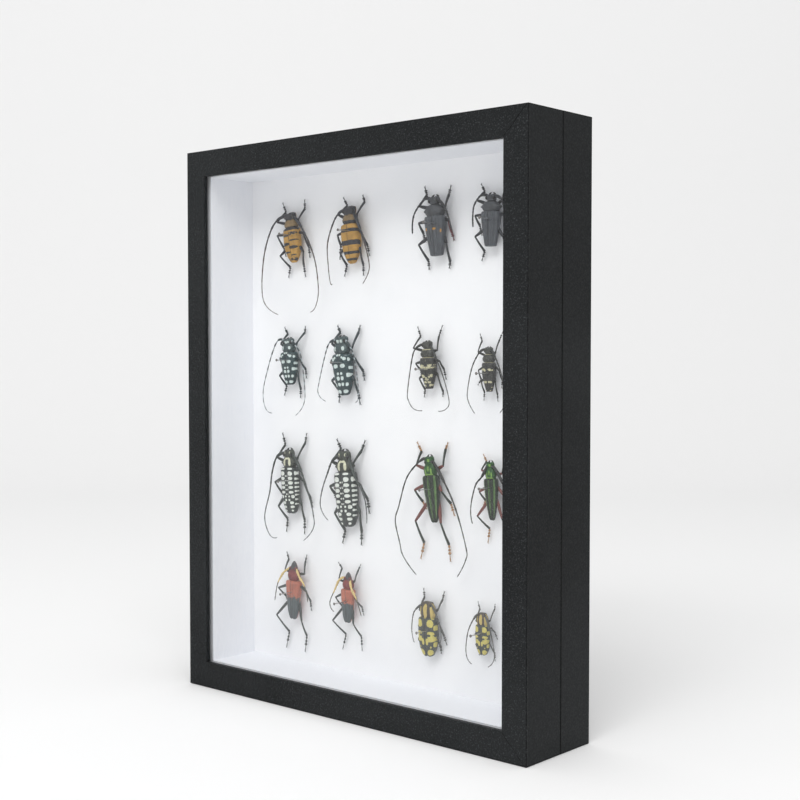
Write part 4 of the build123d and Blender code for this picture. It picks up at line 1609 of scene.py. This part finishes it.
@dataclass
class Studio:
    """Floor, light and the photograph's point of view."""

    place: Triple = (0.47497, -0.51657, 0.18979)
    yaw: float = 41.437
    pitch: float = -2.143
    lens: float = 60.565
    sensor: float = 36.0
    paper: Colour = (0.91, 0.91, 0.91)
    ambient: float = 0.72
    sheet_below: float = 0.0002
    sheet_start: float = -3.0
    sheet_half: float = 4.0
    sheet_top: float = 3.2
    bend: float = 1.75
    radius: float = 0.45

    def camera(self) -> None:
        """Sets the camera where the photograph's was."""
        data = bpy.data.cameras.new("camera")
        data.lens, data.sensor_width = self.lens, self.sensor
        data.clip_start = 0.02
        camera = bpy.data.objects.new("camera", data)
        camera.location = self.place
        camera.rotation_euler = (math.radians(90 + self.pitch), 0.0, math.radians(self.yaw))
        bpy.context.scene.collection.objects.link(camera)
        bpy.context.scene.camera = camera

    def floor(self) -> None:
        """A pale sheet that runs under the box and curves up behind it, square to the view."""
        yaw = math.radians(self.yaw)
        forward = Vector((-math.sin(yaw), math.cos(yaw), 0.0))
        right = Vector((forward.y, -forward.x, 0.0))
        start = Vector((self.place[0], self.place[1], -self.sheet_below))
        angles = [math.radians(degrees) for degrees in range(0, 91, 5)]
        curve = [(self.bend + self.radius * math.sin(a), self.radius * (1 - math.cos(a))) for a in angles]
        outline = [(self.sheet_start, 0.0), *curve, (self.bend + self.radius, self.sheet_top)]
        mesh = bmesh.new()
        left = start - right * self.sheet_half
        verts = [mesh.verts.new(left + forward * away + Vector((0, 0, up))) for away, up in outline]
        edges = [mesh.edges.new(pair) for pair in zip(verts, verts[1:])]
        made = bmesh.ops.extrude_edge_only(mesh, edges=edges)["geom"]
        far = [vert for vert in made if isinstance(vert, bmesh.types.BMVert)]
        bmesh.ops.translate(mesh, verts=far, vec=right * (2 * self.sheet_half))
        bmesh.ops.recalc_face_normals(mesh, faces=mesh.faces)
        s = Surface("floor_paper")
        s.set("Base Color", self.paper)
        s.set("Roughness", 0.9)
        s.set("Specular IOR Level", 0.1)
        new_piece("floor", mesh, [s.material])

    def lamp(self, name: str, place: Vector, aim: Vector, sides: Pair, power: float) -> None:
        """Adds a soft lamp.

        Args:
            name: Name of the lamp.
            place: Where it stands.
            aim: What it faces.
            sides: Its width and height.
            power: Power in watts.
        """
        data = bpy.data.lights.new(name, "AREA")
        data.shape, data.energy = "RECTANGLE", power
        data.size, data.size_y = sides
        lamp = bpy.data.objects.new(name, data)
        lamp.location = place
        lamp.rotation_euler = (aim - place).to_track_quat("-Z", "Y").to_euler()
        bpy.context.scene.collection.objects.link(lamp)

    def world(self) -> None:
        """Even pale light all round, white wherever the camera, a gloss or a pane looks past the floor."""
        world = bpy.data.worlds.new("studio")
        bpy.context.scene.world = world
        world.use_nodes = True
        tree = world.node_tree
        background = tree.nodes["Background"]
        path = tree.nodes.new("ShaderNodeLightPath")
        seen = path.outputs["Is Camera Ray"]
        for ray in ("Is Glossy Ray", "Is Transmission Ray"):
            either = tree.nodes.new("ShaderNodeMath")
            either.operation = "MAXIMUM"
            tree.links.new(seen, either.inputs[0])
            tree.links.new(path.outputs[ray], either.inputs[1])
            seen = either.outputs[0]
        level = tree.nodes.new("ShaderNodeMapRange")
        level.inputs["To Min"].default_value = self.ambient
        level.inputs["To Max"].default_value = 1.0
        tree.links.new(seen, level.inputs["Value"])
        tree.links.new(level.outputs[0], background.inputs["Strength"])
        background.inputs["Color"].default_value = (1.0, 1.0, 1.0, 1.0)

    def make(self) -> None:
        """Builds the studio."""
        self.camera()
        self.floor()
        self.world()
        middle = Vector((0.0, 0.0, 0.15))
        self.lamp("key", Vector((0.4, -1.75, 1.6)), middle, (1.7, 0.6), 11.0)
        self.lamp("top", Vector((0.65, -0.95, 1.7)), middle, (1.3, 1.0), 12.9)
        bpy.context.scene.view_settings.view_transform = "Standard"


SPECIMENS = (
    Specimen(
        Kind.BANDED, 0, 0, 10.8, (-0.5, 10.5), (2.6, -17.2), (3.0, -2.0),
        marks=cross_bands((-0.1, 0.155), (0.285, 0.36)) + (
            (0.5, 0.42, 0.5, 0.03, 0.08), (0.52, 0.56, 0.5, 0.016), (0.5, 0.7, 0.52, 0.032), (0.5, 0.85, 0.5, 0.012),
            (-0.5, 0.46, 0.5, 0.02), (-0.5, 0.625, 0.5, 0.033), (-0.5, 0.79, 0.5, 0.018), (0.0, 0.94, 1.5, 0.03, 0.12),
        ),
        antennae=(
            ((-9, 7), (-15, 0.5), (-20, -12), (-22, -29), (-19.5, -39.5), (-8.5, -45.8)),
            ((9.5, 2.5), (16.5, -8), (21, -19), (23, -33), (21, -41.5), (16.7, -44.8)),
        ),
        legs=(
            ((-11, 6), (-7, 11.5), (-10, 17)), ((6, 6.5), (8, 12.5), (7.5, 17.5)),
            ((-11, -1.5), (-9, -8), (-7.5, -13)), ((9.5, -1), (11, -8.5), (11.5, -14.5)),
            ((-8.7, -13), (-3.6, -19.3), (-5.4, -25)), ((9.8, -11.5), (7, -18.5), (8, -25)),
        ),
    ),
    Specimen(
        Kind.BANDED, 1, 0, 11.5, (0.3, 10.9), (2.5, -19.7), (3.2, -2.4),
        antennae=(
            ((-6, 7.5), (-10.5, 2), (-14.5, -8.5), (-14, -19.5), (-12.6, -28.5), (-11, -30)),
            ((9.5, -1.5), (13.5, -11), (16, -19.5), (15.7, -24.5), (11.5, -30.6)),
        ),
        offset=(2.5, 0),
        legs=(
            ((-8, 7), (-4, 11.7), (-7.3, 16.5)), ((5.8, 6.5), (8.6, 13), (7, 16.7)),
            ((-8.5, -3.8), (-8.9, -9), (-10, -16.5)), ((9, -3), (10.6, -10), (11.7, -15.5)),
            ((-6.5, -13.8), (-4.4, -20), (-6.5, -25.8)), ((8.5, -14), (7.6, -20), (7.4, -25.8)),
        ),
    ),
    Specimen(
        Kind.GREY, 2, 0, 12.2, (0.4, 12.1), (2.1, -18.7), (3.2, -2.5),
        antennae=(
            ((-4, 10.2), (-8.5, 7), (-12.2, 1.5), (-12.7, -7)),
            ((7.5, 6.5), (10.2, 2), (12.9, -6.5)),
        ),
        offset=(2, 0.5),
        marks=((0.2, 0.56, 0.22, 0.018), (-0.72, 0.56, 0.12, 0.026), (0.86, 0.6, 0.06, 0.028)),
        ruddy_leg=3,
        legs=(
            ((-9.5, 7), (-7, 12.7), (-8.8, 17.2)), ((7.5, 5.5), (7.3, 11.7), (8.5, 16.5)),
            ((-10, -1.5), (-9.5, -6.2), (-8.5, -11)), ((9.8, -1), (9.1, -6.5), (10.5, -11)),
            ((-10, -12.5), (-6, -20.5), (-5.8, -25)), ((8.3, -12.5), (8.3, -21.5), (7.5, -24.8)),
        ),
    ),
    Specimen(
        Kind.GREY, 3, 0, 10.6, (0.4, 11), (-0.2, -15.2), (2.2, -2.0),
        antennae=(
            ((-5, 9.8), (-9, 5.5), (-9.9, 0.5), (-9.8, -5.3)),
            ((7.2, 7.5), (9.5, 2), (10, -3.5)),
        ),
        offset=(0.8, 0),
        legs=(
            ((-8.8, 8), (-6.1, 12.2), (-8.6, 16.2)), ((7, 7), (6.5, 12.5), (7.5, 16.5)),
            ((-9.8, 0.5), (-9.3, -4), (-8, -9)), ((9, 0), (8.5, -5.5), (10, -10)),
            ((-9.8, -9.8), (-6.1, -17), (-8.1, -21.5)), ((7.5, -11), (7.5, -18), (7, -22)),
        ),
    ),
    Specimen(
        Kind.SPOTTED, 0, 1, 11.2, (-0.2, 10.2), (1.4, -16), (2.6, -2.0),
        antennae=(
            ((-6.6, 9), (-10.8, 3.5), (-15.5, -7.5), (-19.3, -20), (-17.6, -29), (-12, -32)),
            ((7, 6), (11.3, 0), (14.3, -18), (13.3, -26.5), (6.8, -32.8)),
        ),
        offset=(-2, 1),
        legs=(
            ((-6.5, 7), (-3.8, 12.5), (-6.7, 16.2)), ((6.5, 7.5), (9.7, 13.2), (9.8, 16.7)),
            ((-7.2, -1), (-6, -7), (-5.5, -11)), ((9, -2), (10.3, -7), (10.5, -12)),
            ((-7.5, -10.8), (-4.8, -16.3), (-7, -22)), ((7.5, -11), (6.4, -18), (5.8, -23)),
        ),
    ),
    Specimen(
        Kind.SPOTTED, 1, 1, 12.8, (-0.9, 11), (1.9, -21), (3.0, -3.0),
        antennae=(
            ((-7.7, 7.7), (-11, 2), (-15.8, -13), (-16.8, -20), (-11, -24.3)),
            ((7.5, 5), (10.2, -0.5), (12.5, -11.5), (13.3, -21), (11, -24.3)),
        ),
        offset=(-2.5, 1),
        legs=(
            ((-8, 7), (-4.4, 13), (-6.8, 16.7)), ((7, 4.5), (9.1, 13), (10, 16.7)),
            ((-8.5, -2), (-7.5, -8), (-6.5, -13)), ((9.5, -1), (12.4, -7.5), (13, -12.5)),
            ((-8, -13), (-4.9, -18.5), (-5.8, -24.8)), ((9, -13), (8.6, -18.5), (9.9, -25.5)),
        ),
    ),
    Specimen(
        Kind.YELLOW_BARRED, 2, 1, 9.2, (-0.3, 10.2), (1.3, -14.3), (2.2, -4.0),
        antennae=(
            ((-6.8, 6), (-9.3, 0), (-12.1, -16), (-11.4, -20.5), (-8, -24.5), (-2.1, -25.3)),
            ((6.7, 2), (11.9, -8.5), (15.5, -20), (13.5, -24), (8.4, -25.3)),
        ),
        offset=(-2, -1),
        legs=(
            ((-9.6, 6.5), (-7.2, 12.5), (-9.5, 17.5)), ((6.4, 5.5), (5, 12.5), (7, 18)),
            ((-8, -1.3), (-7.5, -4.3), (-6, -9)), ((8, 0), (8.3, -4), (9.5, -9.3)),
            ((-5.5, -9), (-4.2, -14.5), (-5, -18.5)), ((6.9, -7.5), (7.8, -15.5), (7.3, -18)),
        ),
    ),
    Specimen(
        Kind.YELLOW_BARRED, 3, 1, 7.5, (-0.1, 9.6), (0.4, -12.5), (1.6, -3.2),
        marks=cross_bands((0.162, 0.17), (0.343, 0.352)) + both_sides(
            (0.5, 0.51, 0.36, 0.034, 0.3), (0.46, 0.778, 0.38, 0.026, 0.3), (0.9, 0.895, 0.1, 0.012),
            (0.7, 0.965, 0.2, 0.01),
        ),
        antennae=(
            ((-4.8, 6.5), (-9.3, -1), (-12, -12.5), (-11.3, -17.5), (-7.3, -23.3)),
            ((5, 5), (9.5, -5), (11.5, -15.5), (8, -22.5)),
        ),
        offset=(-0.3, -3.5),
        legs=(
            ((-6.7, 7), (-6.5, 12.5), (-8, 16)), ((4.3, 7.5), (4.3, 13), (6, 17)),
            ((-6.4, -1.8), (-7, -6.5), (-9.3, -9.3)), ((6.4, -2), (6, -6.5), (5.5, -10.5)),
            ((-4.6, -7.5), (-5, -12.5), (-5.5, -16.8)), ((4.1, -7.5), (3.1, -13.5), (3.1, -17)),
        ),
    ),
    Specimen(
        Kind.WHITE_MARKED, 0, 2, 11.6, (-0.5, 14.2), (1.7, -22), (3.0, -3.0),
        antennae=(
            ((-8.6, 9.5), (-12.5, 1), (-14.6, -10.5), (-18.9, -25), (-15.1, -34.7), (-8.7, -36.1)),
            ((10.4, 3), (16.4, -9.5), (20, -20), (20.3, -28), (12.3, -36)),
        ),
        offset=(-1.5, 0),
        legs=(
            ((-10, 9), (-6.6, 16.2), (-9.2, 22.7)), ((6.5, 10), (9.4, 18), (10, 23.2)),
            ((-12, -5), (-9.1, -11.3), (-8, -17)), ((11, -3), (13.4, -12.5), (14.7, -17.5)),
            ((-9.2, -18.5), (-4.8, -25.5), (-6.2, -33)), ((9.5, -16.5), (8.7, -25), (8.3, -33)),
        ),
    ),
    Specimen(
        Kind.WHITE_MARKED, 1, 2, 13.6, (-0.9, 15.5), (2.5, -25.8), (3.6, -3.5),
        antennae=(
            ((-8.2, 9.5), (-11.9, 2.5), (-16, -7), (-17.2, -16), (-11.3, -23)),
            ((9, 1.5), (13.2, -4), (16.5, -12), (17.3, -22.5)),
        ),
        offset=(-0.5, 0),
        legs=(
            ((-10, 9), (-5.9, 15.7), (-9.5, 21)), ((6, 9), (9, 15.5), (11.5, 21.2)),
            ((-11.5, -4.5), (-11.4, -8), (-9, -13)), ((11.3, -2.5), (13.6, -10), (14.5, -17.5)),
            ((-8, -19), (-2.9, -28), (-5.3, -35.3)), ((11, -17.5), (9.2, -27.5), (8.7, -35)),
        ),
    ),
    Specimen(
        Kind.GREEN_STRIPED, 2, 2, 9.6, (-1.4, 15.7), (2.4, -18.3), (2.2, -0.6),
        antennae=(
            ((-6, 13), (-15, 4), (-20.5, -11), (-23, -19), (-20, -30), (-17.5, -37), (-8.5, -45.8)),
            ((9.7, 3.5), (17.4, -10), (24.1, -29), (23.7, -35), (18.3, -44)),
        ),
        offset=(0.5, 0),
        legs=(
            ((-9.9, 10.5), (-9.1, 17.5), (-12.3, 22)), ((7.8, 11.2), (7, 19.5), (8.2, 22.7)),
            ((-11.2, -2.3), (-8.2, -8.3), (-6, -12)), ((6.8, -1.8), (10.5, -8), (12.5, -14)),
            ((-10.6, -18.3), (-7.2, -29.5), (-9.8, -38)), ((6.3, -18), (9.3, -29), (10, -37.5)),
        ),
    ),
    Specimen(
        Kind.GREEN_STRIPED, 3, 2, 7.6, (-0.7, 15), (0.7, -14), (1.6, 2.6),
        antennae=(
            ((-4.6, 7.5), (-8.7, 2.7), (-11.5, -8), (-10.4, -16.3)),
            ((7.8, 5.5), (11, -4), (12, -10), (11, -16)),
        ),
        offset=(1.5, 0),
        legs=(
            ((-6.2, 10.5), (-5.3, 14.5), (-7.6, 18)), ((6.5, 9.5), (6, 15), (7.5, 19)),
            ((-7.5, -0.3), (-6, -4.5), (-7.8, -9.5)), ((7.5, -1), (8, -7), (9.5, -12)),
            ((-8.7, -12.5), (-3.3, -18.5), (-4.6, -25.8)), ((6.5, -12.5), (8.5, -20), (8.5, -26)),
        ),
    ),
    Specimen(
        Kind.RED_SHOULDERED, 0, 3, 10.0, (1.4, 14.7), (0.5, -18.3), (2.4, -2.4),
        antennae=(
            ((-5.1, 8), (-8.4, 4), (-10.7, 0), (-12.8, -9.3)),
            ((7.1, 6.5), (11.3, 1.5), (13.8, -7)),
        ),
        offset=(0.5, 4),
        legs=(
            ((-6, 9), (-6.1, 14.5), (-8, 18.5)), ((9.5, 8.2), (7.2, 14.5), (8, 18.2)),
            ((-11.5, -1.8), (-8.6, -6.3), (-7, -10)), ((11, -1.5), (11.1, -7), (11.5, -12.5)),
            ((-13, -17.5), (-5.8, -26.5), (-8.5, -36)), ((7, -18.3), (8.2, -27), (6.5, -36.3)),
        ),
    ),
    Specimen(
        Kind.RED_SHOULDERED, 1, 3, 8.6, (1.2, 13), (0.5, -14.7), (2.0, -2.5),
        antennae=(
            ((-3.9, 8.5), (-7.5, 2.5), (-11.2, -5), (-8, -9.5)),
            ((5, 4.5), (8.6, -0.8), (12.2, -9.3)),
        ),
        offset=(0.5, 4),
        legs=(
            ((-6, 8), (-6.4, 14), (-9.5, 16.7)), ((6, 9), (5.6, 14), (7.1, 17.2)),
            ((-8.5, -1.8), (-6.9, -6.3), (-5.5, -10)), ((7.5, -2), (8.4, -5.5), (9.3, -9.8)),
            ((-10.7, -14.8), (-3.4, -21.8), (-6.3, -30.5)), ((4.7, -14.7), (7.9, -21.5), (8.2, -29.3)),
        ),
    ),
    Specimen(
        Kind.MARBLED, 2, 3, 11.2, (-0.2, 11.2), (0.4, -17.3), (2.4, -3.0),
        antennae=(
            ((-6.8, 6.5), (-8.9, 2.5), (-9.6, -5), (-7.9, -11)),
            ((6.7, 5.5), (9.3, -1), (10, -6), (8.5, -11)),
        ),
        offset=(-1.5, -3),
        legs=(
            ((-6, 6), (-5, 12.2), (-5.8, 16.7)), ((6.8, 8), (7, 12.2), (8, 16.7)),
            ((-6.5, -2), (-6, -7), (-5, -11)), ((7.3, 1), (7.8, -5.5), (9.7, -10.5)),
            ((-6.5, -9), (-5.5, -14), (-4.5, -18)), ((6.5, -7), (6, -12), (6, -15.5)),
        ),
    ),
    Specimen(
        Kind.MARBLED, 3, 3, 7.9, (-0.3, 12), (0, -9.4), (1.6, 2.4),
        antennae=(
            ((-4.5, 8.5), (-8.3, 1), (-9.3, -9.5), (-5.6, -14.3)),
            ((5.5, 4.5), (8.2, -6), (7.7, -11), (4.4, -14.3)),
        ),
        offset=(-3.5, -5),
        legs=(
            ((-4.5, 7), (-4.3, 12.7), (-5.8, 16.2)), ((4.5, 8.5), (5, 14), (4.9, 16.2)),
            ((-5, 0.5), (-4.5, -3.5), (-3.8, -7)), ((5.3, 5), (5, 2.5), (6.4, -1)),
            ((-4.5, -4.5), (-4, -8.5), (-5, -10.5)), ((4, -2.5), (5, -8), (5, -12)),
        ),
    ),
)


def main() -> None:
    """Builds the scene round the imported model."""
    logging.basicConfig(level=logging.INFO, format="%(message)s")
    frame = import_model()
    Studio().make()
    case = Case()
    case.make(frame["nodes"])
    Display(case.box, SPECIMENS).make()


if __name__ == "__main__":
    main()
